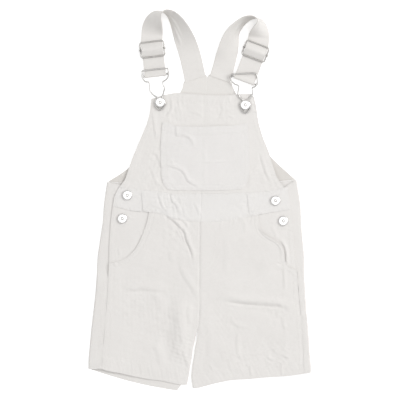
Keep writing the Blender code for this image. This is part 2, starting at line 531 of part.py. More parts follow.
def rounded(outline, count):
    """A closed outline resampled: evenly spaced points on the smooth curve through its rows."""
    rows = np.array(outline, float)
    around = smooth(np.vstack([rows[-2:], rows, rows[:2]]), 3 * FINE_STEPS)
    start = np.argmin(np.linalg.norm(around[:FINE_STEPS] - rows[0], axis=1))
    late = 2 * FINE_STEPS
    finish = late + np.argmin(np.linalg.norm(around[late:] - rows[0], axis=1))
    return around[np.linspace(start, finish, count, endpoint=False).astype(int)]


def button(name, x, y, base, cap, look):
    """Shank button: a flat back disc at the cloth, a shank and a domed cap with a raised rim."""
    profile = [(radius, cap + height) for radius, height in BUTTON_CAP]
    profile += [(SHANK_RADIUS, cap), (SHANK_RADIUS, base), (0, base)]
    return turned(name, profile, x, y, look)


FLAT_COLUMNS = 6  # columns of a back leg that lie on the table
FOLD_ANGLES = (0, 36, 72, 108, 144, 180)  # and those round its fold


def back_leg(name, table, sag, look):
    """Half of the back: flat on the table, then folded up round the side on to the front."""
    rows = np.array(table, float)
    inner, outer, edge = rows[:, 0:2], rows[:, 2:4], rows[:, 4:7]
    across = outer - inner
    across /= np.linalg.norm(across, axis=1)[:, None]
    radius = (edge[:, 2] - CLOTH / 2) / 2
    crest = outer - across * (radius + CLOTH / 2)[:, None]
    inner = inner + across * SEAM_PULL
    columns = []
    for t in np.linspace(0, 1, FLAT_COLUMNS + 1)[:-1]:
        spot = inner + (crest - inner) * t
        height = np.full(len(rows), CLOTH / 2)
        hem = np.zeros(len(rows))
        hem[-1] = -sag * np.sin(np.pi * t)
        columns.append(np.column_stack([spot[:, 0], spot[:, 1] + hem, height]))
    for angle in np.radians(FOLD_ANGLES):
        spot = crest + across * (radius * np.sin(angle))[:, None]
        columns.append(np.column_stack([spot, CLOTH / 2 + radius * (1 - np.cos(angle))]))
    fold_top = np.column_stack([crest, edge[:, 2]])
    columns += [(fold_top + edge) / 2, edge]
    return sheet(name, np.stack(columns, axis=1), CLOTH, look)


# Build.
for leftover in list(bpy.data.objects):
    bpy.data.objects.remove(leftover)

GARMENT = fresh_collection("child_shortalls")
CUTTERS = fresh_collection("cutters", shown=False)
TWILL = material("off_white_twill", (0.78, 0.75, 0.71))
BAND_TWILL = material("off_white_twill_band", (0.80, 0.78, 0.74))
POCKET_TWILL = material("off_white_twill_pocket", (0.79, 0.77, 0.73))
BACK_TWILL = material("off_white_twill_back", (0.72, 0.69, 0.65))
STRAP_TWILL = material("off_white_twill_strap", (0.77, 0.74, 0.70))
NICKEL = material("nickel_wire", (0.62, 0.60, 0.57), metallic=1.0, roughness=0.3)
BUTTON_METAL = material("nickel_button", (0.66, 0.65, 0.63), metallic=1.0, roughness=0.35)

BIB_COLUMNS, BIB_ROWS = 14, 12
BIB_SEAM_X = 5  # the pocket lies on the left bib panel up to here
POCKET_COLUMNS, POCKET_ROWS = 12, 9
OUT, IN = 4, 10  # waistband columns outside the scoop pocket's edge and inside it
BAND_ROWS = 4
SCOOP_ROWS, LOW_ROWS = 6, 6
HIP_COLUMNS, HIP_ROWS = 6, 8
BACK_COLUMNS, BACK_ROWS = 6, 12
LOOP_ROWS = 6
BUTTON_GAP = 0.3  # between a button and the cloth or wire under it
SIDE_SHANK = 0.6
BELT_LOOP_GAP = 0.35
EYE_BELOW_Y = 150  # a clasp's wire below this line is its button eye

bib_left_grid = folded(pulled_in(patch(
    smooth(BIB_TOP_L, BIB_COLUMNS), smooth(WAIST_TOP_L, BIB_COLUMNS),
    smooth(BIB_LEFT, BIB_ROWS), smooth(BIB_CENTRE, BIB_ROWS))), BIB_FOLDS)
bib_right_grid = folded(pulled_in(patch(
    smooth(BIB_TOP_R, BIB_COLUMNS), smooth(WAIST_TOP_R, BIB_COLUMNS),
    smooth(BIB_CENTRE, BIB_ROWS), smooth(BIB_RIGHT, BIB_ROWS))), BIB_FOLDS)
sheet("bib_left", bib_left_grid, CLOTH, TWILL)
sheet("bib_right", bib_right_grid, CLOTH, TWILL)

pocket_plan = patch(smooth(POCKET_TOP, POCKET_COLUMNS), smooth(POCKET_FOOT, POCKET_COLUMNS),
                    smooth(POCKET_LEFT, POCKET_ROWS), smooth(POCKET_RIGHT, POCKET_ROWS))
pocket_x, pocket_y = pocket_plan[..., 0], pocket_plan[..., 1]
under = np.where(pocket_x < BIB_SEAM_X, height_on(bib_left_grid, pocket_x, pocket_y),
                 height_on(bib_right_grid, pocket_x, pocket_y))
pocket_grid = np.concatenate([pocket_plan, (under + POCKET_LIFT)[..., None]], axis=-1)
sheet("bib_pocket", folded(pocket_grid, POCKET_FOLDS), CLOTH, POCKET_TWILL)

band_left_grid = folded(pulled_in(patch(
    smooth(WAIST_TOP_L, OUT + IN), joined(smooth(BAND_FOOT_L_OUT, OUT), smooth(BAND_FOOT_L_IN, IN)),
    smooth(BAND_LEFT, BAND_ROWS), smooth(BAND_CENTRE, BAND_ROWS))), LOWER_FOLDS)
band_right_grid = folded(pulled_in(patch(
    joined(smooth(WAIST_TOP_R, OUT + IN - 1), smooth(BAND_TOP_R_END, 1)),
    joined(smooth(BAND_FOOT_R_IN, IN), smooth(BAND_FOOT_R_OUT, OUT)),
    smooth(BAND_CENTRE, BAND_ROWS), smooth(BAND_RIGHT, BAND_ROWS))), LOWER_FOLDS)
sheet("waistband_left", band_left_grid, BAND, BAND_TWILL)
sheet("waistband_right", band_right_grid, BAND, BAND_TWILL)

leg_left_grid = folded(pulled_in(patch(
    smooth(LEG_TOP_L, IN), smooth(HEM_L, IN),
    joined(smooth(SCOOP_L, SCOOP_ROWS), smooth(SIDE_L, 2 * LOW_ROWS)),
    joined(smooth(CENTRE_UPPER, SCOOP_ROWS), smooth(CENTRE_LOWER, LOW_ROWS),
           smooth(INSEAM_L, LOW_ROWS)))), LOWER_FOLDS)
leg_right_grid = folded(pulled_in(patch(
    smooth(LEG_TOP_R, IN), smooth(HEM_R, IN),
    joined(smooth(CENTRE_UPPER, SCOOP_ROWS), smooth(CENTRE_LOWER, LOW_ROWS), smooth(INSEAM_R, LOW_ROWS)),
    joined(smooth(SCOOP_R, SCOOP_ROWS), smooth(SIDE_R, 2 * LOW_ROWS)))), LOWER_FOLDS)
sheet("front_leg_left", leg_left_grid, CLOTH, TWILL)
sheet("front_leg_right", leg_right_grid, CLOTH, TWILL)

sheet("hip_piece_left", pulled_in(patch(
    smooth(HIP_TOP_L, HIP_COLUMNS), smooth(HIP_FOOT_L, HIP_COLUMNS),
    smooth(HIP_OUTER_L, HIP_ROWS), smooth(HIP_INNER_L, HIP_ROWS))), CLOTH, TWILL)
sheet("hip_piece_right", pulled_in(patch(
    smooth(HIP_TOP_R, HIP_COLUMNS), smooth(HIP_FOOT_R, HIP_COLUMNS),
    smooth(HIP_INNER_R, HIP_ROWS), smooth(HIP_OUTER_R, HIP_ROWS))), CLOTH, TWILL)

for name, top, foot, left, right in (
    ("back_bib_left", BACK_TOP_L, BACK_FOOT_L,
     smooth(BACK_SIDE_L, BACK_ROWS), straight(BACK_CENTRE_L, BACK_ROWS)),
    ("back_bib_right", BACK_TOP_R, BACK_FOOT_R,
     straight(BACK_CENTRE_R, BACK_ROWS), smooth(BACK_SIDE_R, BACK_ROWS)),
):
    plan = pulled_in(patch(straight(top, BACK_COLUMNS), straight(foot, BACK_COLUMNS), left, right))
    on_table = np.full(plan.shape[:2] + (1,), CLOTH / 2)
    sheet(name, np.concatenate([plan, on_table], axis=-1), CLOTH, BACK_TWILL)


back_leg("back_leg_left", BACK_LEG_L, BACK_HEM_SAG_L, BACK_TWILL)
back_leg("back_leg_right", BACK_LEG_R, BACK_HEM_SAG_R, BACK_TWILL)

for name, (top, foot, width) in BELT_LOOPS.items():
    band = band_left_grid if top[0] < 0 else band_right_grid
    down = np.linspace(0, 1, LOOP_ROWS + 1)[:, None]
    middle = np.array(top) * (1 - down) + np.array(foot) * down
    plan = np.stack([middle + (shift * width, 0) for shift in (-0.5, 0, 0.5)], axis=1)
    height = height_on(band, plan[..., 0], plan[..., 1]) + BAND / 2 + BELT_LOOP_GAP + CLOTH / 2
    sheet(name, np.concatenate([plan, height[..., None]], axis=-1), CLOTH, BAND_TWILL)

strap("strap_left", 1, LOOP_L, END_DIRECTION_L, BAR_L, SLIDE_L, LIFT_L, STRAP_TWILL)
strap("strap_right", -1, LOOP_R, END_DIRECTION_R, BAR_R, SLIDE_R, LIFT_R, STRAP_TWILL)
slide_buckle("slide_left", BAR_L, SLIDE_L, LIFT_L, NICKEL)
slide_buckle("slide_right", BAR_R, SLIDE_R, LIFT_R, NICKEL)
clasp("clasp_left", CLASP_L, BAR_L, SLIDE_L, LIFT_L, NICKEL)
clasp("clasp_right", CLASP_R, BAR_R, SLIDE_R, LIFT_R, NICKEL)

for name, (x, y) in BIB_BUTTONS.items():
    grid, outline = (bib_left_grid, CLASP_L) if x < 0 else (bib_right_grid, CLASP_R)
    base = float(height_on(grid, [x], [y])[0]) + CLOTH / 2 + BUTTON_GAP
    eye = max(row[2] for row in outline if row[1] < EYE_BELOW_Y)
    button(name, x, y, base, eye + WIRE + BUTTON_GAP, BUTTON_METAL)
for name, (x, y) in SIDE_BUTTONS.items():
    if "upper" in name:
        band = band_left_grid if x < 0 else band_right_grid
        top = float(height_on(band, [x], [y])[0]) + BAND / 2
    else:
        top = HIP_OUTER_L[0][2] + CLOTH / 2
    button(name, x, y, top + BUTTON_GAP, top + BUTTON_GAP + SIDE_SHANK, BUTTON_METAL)

for made in [*GARMENT.objects, *CUTTERS.objects]:
    made.location.x += CENTRE_SHIFT[0] * MM
    made.location.y += CENTRE_SHIFT[1] * MM
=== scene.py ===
"""Looks for the child's shortalls laid flat: fine cloth shells on the CAD solids' form, with creases, seams,
hems and topstitching, twill and nickel finishes, and the table seen from straight above."""

import bpy
import numpy as np
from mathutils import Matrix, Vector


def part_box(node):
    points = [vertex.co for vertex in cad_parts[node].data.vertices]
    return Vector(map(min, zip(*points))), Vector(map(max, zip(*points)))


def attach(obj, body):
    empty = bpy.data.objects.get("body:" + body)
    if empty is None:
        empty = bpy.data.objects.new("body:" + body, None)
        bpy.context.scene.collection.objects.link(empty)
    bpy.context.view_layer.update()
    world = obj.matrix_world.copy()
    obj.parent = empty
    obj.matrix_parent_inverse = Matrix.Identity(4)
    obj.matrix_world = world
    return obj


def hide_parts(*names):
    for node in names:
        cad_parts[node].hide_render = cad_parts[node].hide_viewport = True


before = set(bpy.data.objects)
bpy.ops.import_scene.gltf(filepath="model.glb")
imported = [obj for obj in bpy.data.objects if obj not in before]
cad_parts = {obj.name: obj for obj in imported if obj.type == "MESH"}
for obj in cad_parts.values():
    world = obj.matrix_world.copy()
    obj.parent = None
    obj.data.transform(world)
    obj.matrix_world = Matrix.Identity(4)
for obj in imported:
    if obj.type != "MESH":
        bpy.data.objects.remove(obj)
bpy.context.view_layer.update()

MM = 0.001
SHIFT = np.array([0.2, 0.68, 0.0])  # the tables' origin to the frame's, in mm
CLOTH, BAND, STRAP, STRAP_WIDTH = 1.0, 1.8, 1.2, 31.6
SEAM_PULL = 0.12
CELL = 1.3  # mm, cell of a visible panel's grid
WIRE, BAR_WIRE = 1.1, 1.02
BODY = "root"

# Edges of the front, as in the solids: x, y, height of the cloth's middle, mm.
BIB_TOP_L = [(-72, 149.5, 2.2), (-62, 152.5, 2.2), (-50.5, 156, 2.3), (-35.5, 158.5, 2.6), (-18, 157.5, 2.9),
             (6.5, 155.5, 3.1)]
BIB_TOP_R = [(6.5, 155.5, 3.1), (32.5, 155, 2.9), (56, 156.5, 2.5), (74, 157, 2.3), (80, 151.5, 2.2)]
BIB_LEFT = [(-72, 149.5, 2.2), (-74.5, 130, 2.3), (-78.5, 114, 2.4), (-84.5, 99, 2.5), (-92, 81.5, 2.6),
            (-100, 62, 2.8), (-106, 44.5, 3.2), (-111.5, 29.5, 4.1), (-120, 18.5, 4.5)]
BIB_RIGHT = [(80, 151.5, 2.2), (83.5, 136, 2.3), (86.5, 115.5, 2.4), (93, 93, 2.5), (100, 75.5, 2.6),
             (104.5, 62, 2.8), (109, 47.5, 3.2), (114.5, 32.5, 4.1), (124.5, 18.5, 4.5)]
BIB_CENTRE = [(6.5, 155.5, 3.1), (7, 109.5, 3.4), (4.5, 59, 4.0), (2, 9.5, 4.8)]
WAIST_TOP_L = [(-120, 18.5, 4.5), (-106.5, 18, 4.6), (-89, 15, 4.7), (-71, 13.5, 4.8), (-56, 12, 4.8),
               (-41.5, 9, 4.8), (-20.5, 9, 4.8), (2, 9.5, 4.8)]
WAIST_TOP_R = [(2, 9.5, 4.8), (26.5, 9.5, 4.8), (50.5, 10.5, 4.8), (71, 11, 4.8), (92, 12, 4.7),
               (109.5, 14, 4.6), (124.5, 18.5, 4.5)]
BAND_TOP_R_END = [(124.5, 18.5, 4.5), (130, 19.5, 4.5)]
BAND_LEFT = [(-120, 18.5, 4.5), (-126, 6, 4.5), (-129, -9, 4.5)]
BAND_RIGHT = [(130, 19.5, 4.5), (131.5, 3, 4.5), (134.5, -14, 4.5)]
BAND_CENTRE = [(2, 9.5, 4.8), (0, -32.5, 4.9)]
BAND_FOOT_L = [(-129, -9, 4.5), (-115.5, -12.5, 4.6), (-97.5, -16.5, 4.7), (-75.5, -18, 4.8), (-59, -20.5, 4.8),
               (-41.5, -26.5, 4.8), (-20.5, -30.5, 4.8), (0, -32.5, 4.9)]
BAND_FOOT_R = [(0, -32.5, 4.9), (18, -32.5, 4.8), (38.5, -30.5, 4.8), (59, -27, 4.8), (77, -24.5, 4.8),
               (86.5, -22, 4.8), (94.5, -20.5, 4.7), (115.5, -17, 4.6), (134.5, -14, 4.5)]
LEG_TOP_L = [(-75.5, -18, 5.7), (-59, -20.5, 5.6), (-41.5, -26.5, 5.2), (-20.5, -30.5, 5.0), (0, -32.5, 4.9)]
LEG_TOP_R = [(0, -32.5, 4.9), (18, -32.5, 5.0), (38.5, -30.5, 5.1), (59, -27, 5.4), (77, -24.5, 5.7),
             (86.5, -22, 5.7)]
SCOOP_L = [(-75.5, -18, 5.7), (-77.5, -29.5, 5.7), (-83, -46, 5.7), (-89, -60.5, 5.7), (-97, -74, 5.7),
           (-108, -84.5, 5.7), (-121.5, -91, 5.7), (-134.5, -93, 5.7)]
SCOOP_R = [(86.5, -22, 5.7), (88, -34, 6.1), (91, -46, 6.7), (99, -53, 7.2), (110, -59, 7.3), (119, -67, 7.2),
           (124, -78, 6.9), (126, -90, 6.4), (132, -98.5, 5.9), (143, -102, 5.7)]
SIDE_L = [(-134.5, -93, 5.7), (-135.2, -106, 5.5), (-135.8, -118.5, 4.9), (-137.3, -148, 4.5),
          (-140, -177.5, 4.5), (-142, -204, 4.5), (-144, -225, 4.5), (-145, -250, 4.5)]
SIDE_R = [(143, -102, 5.7), (144, -115, 5.4), (145, -126, 4.8), (147.5, -155.5, 4.5), (149.5, -174.5, 4.5),
          (151.5, -200, 4.5), (152.8, -225, 4.5), (154, -257, 4.5)]
CENTRE_UPPER = [(0, -32.5, 4.9), (-0.5, -74, 4.8), (-1, -108, 4.7)]
CENTRE_LOWER = [(-1, -108, 4.7), (-0.5, -148, 4.5), (-1, -170, 4.1), (-3.5, -191, 3.2)]
INSEAM_L = [(-3.5, -191, 3.2), (-7, -204, 2.4), (-10, -217.5, 2.0), (-12, -232.5, 1.9), (-14.5, -247, 1.9),
            (-16.5, -260.5, 1.9), (-19, -273.5, 1.9)]
INSEAM_R = [(-3.5, -191, 3.2), (-4.7, -204, 2.4), (-7.5, -217.5, 2.0), (-9.5, -232.5, 1.9), (-12, -247, 1.9),
            (-13, -262, 1.9), (-11, -278, 1.9)]
HEM_L = [(-145, -250, 4.5), (-133, -253.5, 4.2), (-118.5, -256, 3.4), (-97.5, -261, 2.5), (-77, -265, 2.1),
         (-59, -267, 2.0), (-44.5, -270, 1.9), (-29.5, -273, 1.9), (-19, -273.5, 1.9)]
HEM_R = [(-11, -278, 1.9), (-3, -278, 1.9), (9, -275, 1.9), (26.5, -270.5, 2.0), (47.5, -266.5, 2.1),
         (71, -265, 2.2), (92, -263, 2.5), (112.5, -261.5, 3.1), (133, -260, 3.9), (154, -257, 4.5)]
HIP_TOP_L = [(-129, -9, 4.1), (-115.5, -12.5, 4.1), (-97.5, -16.5, 4.1), (-75.5, -18.4, 4.1), (-59, -22.5, 4.1)]
HIP_OUTER_L = [(-129, -9, 4.1), (-131.5, -26.5, 4.1), (-133, -47.5, 4.1), (-134.3, -71, 4.1),
               (-134.3, -101, 4.0)]
HIP_INNER_L = [(-59, -22.5, 4.1), (-63.5, -37, 4.1), (-71, -56, 4.1), (-83, -75.5, 4.1), (-97, -89, 4.0),
               (-112.5, -98, 4.0)]
HIP_FOOT_L = [(-134.3, -101, 4.0), (-112.5, -98, 4.0)]
HIP_TOP_R = [(69.5, -27.5, 4.1), (86.5, -22.4, 4.1), (94.5, -20.5, 4.1), (115.5, -17, 4.1), (134.5, -14, 4.1)]
HIP_INNER_R = [(69.5, -27.5, 4.1), (72.5, -44.5, 4.1), (83, -63.5, 4.1), (97.5, -80, 4.1), (109, -92, 4.0),
               (120, -102, 4.0)]
HIP_OUTER_R = [(134.5, -14, 4.1), (137.5, -32.5, 4.1), (139, -59, 4.1), (141.5, -81.5, 4.1), (142.6, -106, 4.0)]
HIP_FOOT_R = [(120, -102, 4.0), (142.6, -106, 4.0)]
POCKET_TOP = [(-55.5, 115), (-47.5, 114.5), (-35.5, 109.5), (-15, 108.5), (7.5, 108.5), (29.5, 109.5),
              (53.5, 110.5), (70.5, 114.5)]
POCKET_LEFT = [(-55.5, 115), (-57.5, 93), (-58.5, 71), (-57.5, 50.5), (-56.5, 32.5), (-52.5, 21), (-46, 15)]
POCKET_RIGHT = [(70.5, 114.5), (72.5, 89), (73.5, 59), (73, 37), (69, 24), (62, 16)]
POCKET_FOOT = [(-46, 15), (-22, 14), (7.5, 14), (37, 14.5), (62, 16)]
POCKET_LIFT = 1.15
GAPE, GAPE_DEPTH, GAPE_MIDDLE, GAPE_HALF_WIDTH = 0.8, 9, 10, 30  # how the pocket's mouth stands off the bib
BACK_TOP_L, BACK_TOP_R = [(-24, 175), (9, 186)], [(13.4, 186), (46.8, 174.2)]
BACK_SIDE_L = [(-24, 175), (-26, 166), (-29.5, 158.5), (-38.5, 142), (-52, 118.5), (-66.5, 93), (-83, 69.5),
               (-102, 50.5), (-117, 39), (-136, 27.2)]
BACK_SIDE_R = [(46.8, 174.2), (49, 166), (54, 156), (62, 140.5), (74, 115.5), (86, 90.5), (97.5, 73.5),
               (105, 63.5), (120, 49), (141, 30.1)]
BACK_CENTRE_L = [(9, 186), (10.6, 181.5), (9, 155.5), (6, 103.5), (2, 15.8)]
BACK_CENTRE_R = [(13.4, 186), (10.6, 181.5), (9, 155.5), (6, 103.5), (2, 15.8)]
BACK_FOOT_L, BACK_FOOT_R = [(-136, 27.2), (2, 15.8)], [(2, 15.8), (141, 30.1)]

# Back legs, a row per section: inner edge x, y; outermost contour x, y; edge on the front side x, y, height.
BACK_LEG_L = [
    (2, 15, -137.5, 26.5, -97.5, 18, 2.9), (0.5, -7.5, -142, -6, -100.5, -10.5, 2.9),
    (-0.5, -32.5, -144, -32.5, -105, -35.5, 2.9), (-0.5, -59, -148, -59, -111, -60.5, 2.9),
    (-1, -80, -151, -80, -121, -80, 2.9), (-1, -92, -152, -92, -130, -92, 2.9),
    (-1, -103, -152.4, -103, -134.2, -103, 2.9), (-1, -111, -152.8, -111, -134.9, -111, 3.5),
    (-1, -120, -153.3, -120, -136.4, -120, 4.4), (-1, -140, -155, -140, -137.4, -140, 4.5),
    (-1.2, -165, -157.7, -165, -139.3, -165, 4.5), (-4, -191, -160.7, -191, -141.6, -191, 4.5),
    (-9, -214.5, -163, -214, -143.5, -214, 4.5), (-15, -240, -164.7, -234, -144.9, -232, 4.5),
    (-23.5, -266, -165, -245, -145.4, -243.5, 4.5), (-33.5, -282, -165, -249.5, -145.6, -249.8, 4.5),
]
BACK_LEG_R = [
    (2, 15, 143, 29.5, 99, 3, 2.9), (0.5, -7.5, 148.5, -6, 100.5, -9, 2.9),
    (-0.5, -32.5, 150, -32.5, 108, -32.5, 2.9), (-0.5, -59, 152, -59, 120, -59, 2.9),
    (-1, -80, 154, -80, 130, -80, 2.9), (-1, -98, 154.3, -98, 138.5, -98, 2.9),
    (-1, -108, 154.5, -108, 142.6, -108, 2.9), (-1, -117, 154.8, -117, 143.8, -117, 3.5),
    (-1, -127, 155.3, -127, 145.8, -127, 4.4), (-1, -145, 156.4, -145, 147.2, -145, 4.5),
    (-1.2, -165, 157.8, -165, 149.1, -165, 4.5), (-2, -191, 160.3, -191, 151.3, -191, 4.5),
    (-6, -214.5, 161.5, -214, 152.8, -214, 4.5), (-9, -237, 163.4, -237, 153.8, -237, 4.5),
    (-11, -259, 164.6, -249, 154.3, -249, 4.5), (-10.5, -276, 164.6, -255.5, 154.6, -256.8, 4.5),
]
BACK_HEM_SAG_L, BACK_HEM_SAG_R = 3.5, -6

LOOP_L = [(-71, 242.5, 0), (-70.7, 250, 8), (-69.5, 260, 27), (-66.5, 268.5, 45), (-61, 275, 66),
          (-54.7, 278, 90), (-47.5, 276.3, 105), (-40.5, 271, 118), (-34, 262, 131), (-28, 250, 146),
          (-21.5, 234, 164), (-15.8, 217.5, 176), (-11.3, 199.5, 180), (-6.9, 178.8, 180)]
LOOP_R = [(86.6, 238, 3), (88.6, 248, 30), (89.4, 257, 54), (88, 264.5, 74), (82.5, 268.8, 90),
          (75, 269, 99), (67.5, 266.5, 106), (60.5, 261.5, 112), (53.5, 254, 119), (47.8, 245, 132),
          (44, 232.5, 149), (40.6, 219, 163), (37, 205, 176), (33.6, 192.5, 180), (29.4, 178.6, 180)]
END_DIRECTION_L, END_DIRECTION_R = (33.0, 11.0), (33.4, -11.8)
BAR_L, SLIDE_L, LIFT_L = (-66, 184.5), (-70.5, 223), 0.0
BAR_R, SLIDE_R, LIFT_R = (65.5, 177), (82, 220), 1.6
SLIDE_SIZE, SLIDE_HEIGHT = (37.6, 24.7), 4.4
CROSSBAR_HEIGHT, CROSSBAR_HALF, BUMP = 2.6, 18.4, 1.9
CLASP_L = [(-83, 191.2, 4.4), (-50.5, 194.7, 4.4), (-47, 192, 4.4), (-46.2, 186.5, 4.4), (-47.5, 181.5, 4.4),
           (-50.5, 177.5, 4.4), (-55, 174.5, 4.4), (-54, 170, 4.5), (-52.5, 166, 4.5), (-53.5, 160.5, 4.5),
           (-55, 155.5, 4.5), (-55.8, 151, 4.6), (-51.5, 145, 4.8), (-52.5, 139, 4.8), (-59, 133, 4.8),
           (-65.5, 138.5, 4.8), (-66.5, 144.5, 4.8), (-62.8, 151, 4.6), (-68, 154.5, 4.5), (-72.5, 159, 4.5),
           (-74.5, 164.5, 4.5), (-74.5, 169.5, 4.5), (-75.5, 174, 4.4), (-80.5, 175, 4.4), (-84, 178.5, 4.4),
           (-85.3, 183, 4.4), (-85, 188, 4.4)]
CLASP_R = [(49.8, 186.2, 7.4), (65, 187, 6.9), (80, 187.3, 6.4), (84, 184.5, 6.1), (85, 178.5, 6.0),
           (84.8, 172.5, 5.9), (82, 168, 5.8), (77.5, 165.5, 5.7), (78, 160.5, 5.5), (77, 155.5, 5.4),
           (73.5, 150.5, 5.2), (70.3, 147.5, 5.1), (74.5, 141.5, 5.0), (73.5, 134.5, 5.0), (68, 128.5, 5.0),
           (61.5, 133, 5.0), (59, 140, 5.0), (63.3, 147, 5.1), (59, 151.5, 5.2), (56.5, 157.5, 5.4),
           (57, 164.5, 5.5), (57, 169, 5.6), (52, 171, 5.8), (47, 175.5, 5.9), (45.2, 181, 6.2),
           (46.5, 185, 6.9)]
BELT_LOOPS = {
    "belt_loop_left": ((-83.2, 13.6), (-81, -16), 6.6),
    "belt_loop_right": ((74, 9.8), (77.5, -23), 8.6),
}
BUTTONS = {
    "bib_button_left": (-59, 144.5), "bib_button_right": (66.8, 140.5),
    "side_button_left_upper": (-107.5, 7), "side_button_left_lower": (-115, -27.5),
    "side_button_right_upper": (111.5, -1), "side_button_right_lower": (123, -31),
}

# Creases: path down or to the right, height, half-width, share of the crease beside it.
# A ridge lies to the left of its path, and the crease, its sharp shaded side, on the path; a height below 0 is
# a soft trough.
LOWER_CREASES = [
    ([(84, -33), (88.5, -47), (99, -57), (112, -64.5), (118.5, -75), (119, -89)], 0.9, 2.6, 0.5),
    ([(124, -91), (119, -94.5), (113, -93)], -0.8, 1.3, 0),
    ([(-39, -138), (-40, -172), (-39, -205), (-40, -242)], 3.0, 12, 0.05),
    ([(-75, -140), (-66, -150), (-60, -166)], 0.8, 7, 0.3),
    ([(-72, -215), (-64, -228), (-62, -246)], 0.8, 6, 0.4),
    ([(44, -158), (78, -162), (120, -166)], -0.7, 6, 0),
    ([(-62.2, 10.4), (-60.7, 1.5), (-57.7, -7.4), (-50.3, -17.8)], 0.9, 2.6, 0.6),
    ([(-54.8, 5.9), (-53.3, -4.4), (-47.4, -14.8)], 0.6, 2.2, 0.5),
    ([(-44.4, 13.3), (-42.9, 0), (-35.5, -8.9), (-32.6, -20.7)], 1, 2.6, 0.6),
    ([(-32.6, 3), (-26.6, -11.8), (-23.7, -25.2)], 0.5, 2.4, 0.5),
    ([(-54.8, -20.7), (-47.4, -26.6), (-40, -31.1), (-25.2, -45.9),
      (-20.7, -59.2), (-13.3, -77), (-10.4, -91.8)], 1.8, 3.2, 0.75),
    ([(-41.4, -28.1), (-29.6, -29.6), (-22.2, -35.5), (-17.8, -42.9)], 0.9, 2.4, 0.6),
    ([(-35.5, -35.5), (-26.6, -53.3), (-23.7, -65.1)], 0.6, 2.6, 0.5),
    ([(-32.6, -91.8), (-26.6, -111), (-13.3, -131.7), (-4.4, -148)], 0.9, 5, 0.35),
    ([(-47.4, -74), (-44.4, -91.8)], 0.45, 4, 0.4),
    ([(-115.4, -134.7), (-81.4, -133.2), (-48.8, -136.2)], 1.4, 6, 0.5),
    ([(-112.5, -170.2), (-88.8, -170.2)], 0.4, 3.5, 0.4),
    ([(-130.2, -91.8), (-124.3, -100.6)], 0.4, 2.5, 0.4),
    ([(-17.8, -152.4), (-19.2, -170.2), (-16.3, -186.5)], 0.8, 3.6, 0.5),
    ([(-50.3, -189.4), (-50.3, -210.2), (-53.3, -230.9)], -0.9, 8, 0),
    ([(-35.5, -174.6), (-29.6, -198.3), (-28.1, -222)], 0.5, 6, 0.3),
    ([(-28.1, -219), (-23.7, -233.8), (-19.2, -248.6)], 0.8, 3.5, 0.5),
    ([(-10.4, -4.4), (-5.9, -11.8), (-1.5, -23.7)], 0.6, 2.6, 0.5),
    ([(-74, -7.4), (-65.1, -11.8), (-54.8, -13.3)], 0.4, 2.2, 0.5),
    ([(-97.7, 4.4), (-88.8, 1.5)], 0.4, 2.2, 0.4),
    ([(32.6, -148), (59.2, -151.7), (91.8, -154.7), (112.5, -156.1), (122.8, -158.4),
      (131.7, -164.3)], 2.2, 5.5, 0.6),
    ([(44.4, -170.2), (45.9, -180.6), (54.8, -188), (71, -190.9)], 0.6, 3.2, 0.45),
    ([(53.3, -192.4), (53.3, -214.6), (56.2, -233.8), (68.1, -238.3)], 0.6, 3.2, 0.45),
    ([(69.6, -230.9), (85.8, -229.4), (97.7, -225)], 0.5, 2.6, 0.45),
    ([(99.2, -225), (100.6, -235.3), (112.5, -238.3)], 0.6, 2.6, 0.5),
    ([(115.4, -229.4), (124.3, -232.4), (131.7, -236.8)], 0.6, 2.2, 0.5),
    ([(118.4, -170.2), (121.4, -180.6), (124.3, -193.9)], 0.7, 3, 0.5),
    ([(118, -243), (119, -252), (121, -261)], 0.9, 2, 0.6),
    ([(73, -244), (73.5, -254), (75, -262)], 0.7, 1.8, 0.6),
    ([(121.4, -94.7), (122.8, -114), (122.8, -134.7)], 0.7, 2.8, 0.45),
    ([(63.6, -29.6), (65.1, -48.8)], 0.3, 3, 0.4),
    ([(32.6, -41.4), (35.5, -74), (34, -111)], 0.25, 5, 0.3),
    ([(11.8, -242.7), (16.3, -250.1), (20.7, -256)], 0.6, 2.4, 0.5),
    ([(7.4, -177.6), (10.4, -214.6), (8.9, -244.2)], 0.35, 6, 0.3),
    ([(91.8, -199.8), (106.6, -214.6), (125.8, -211.6)], -0.5, 7, 0),
    ([(56.2, -91.8), (91.8, -91.8), (103.6, -125.8)], 0.4, 9, 0),
]
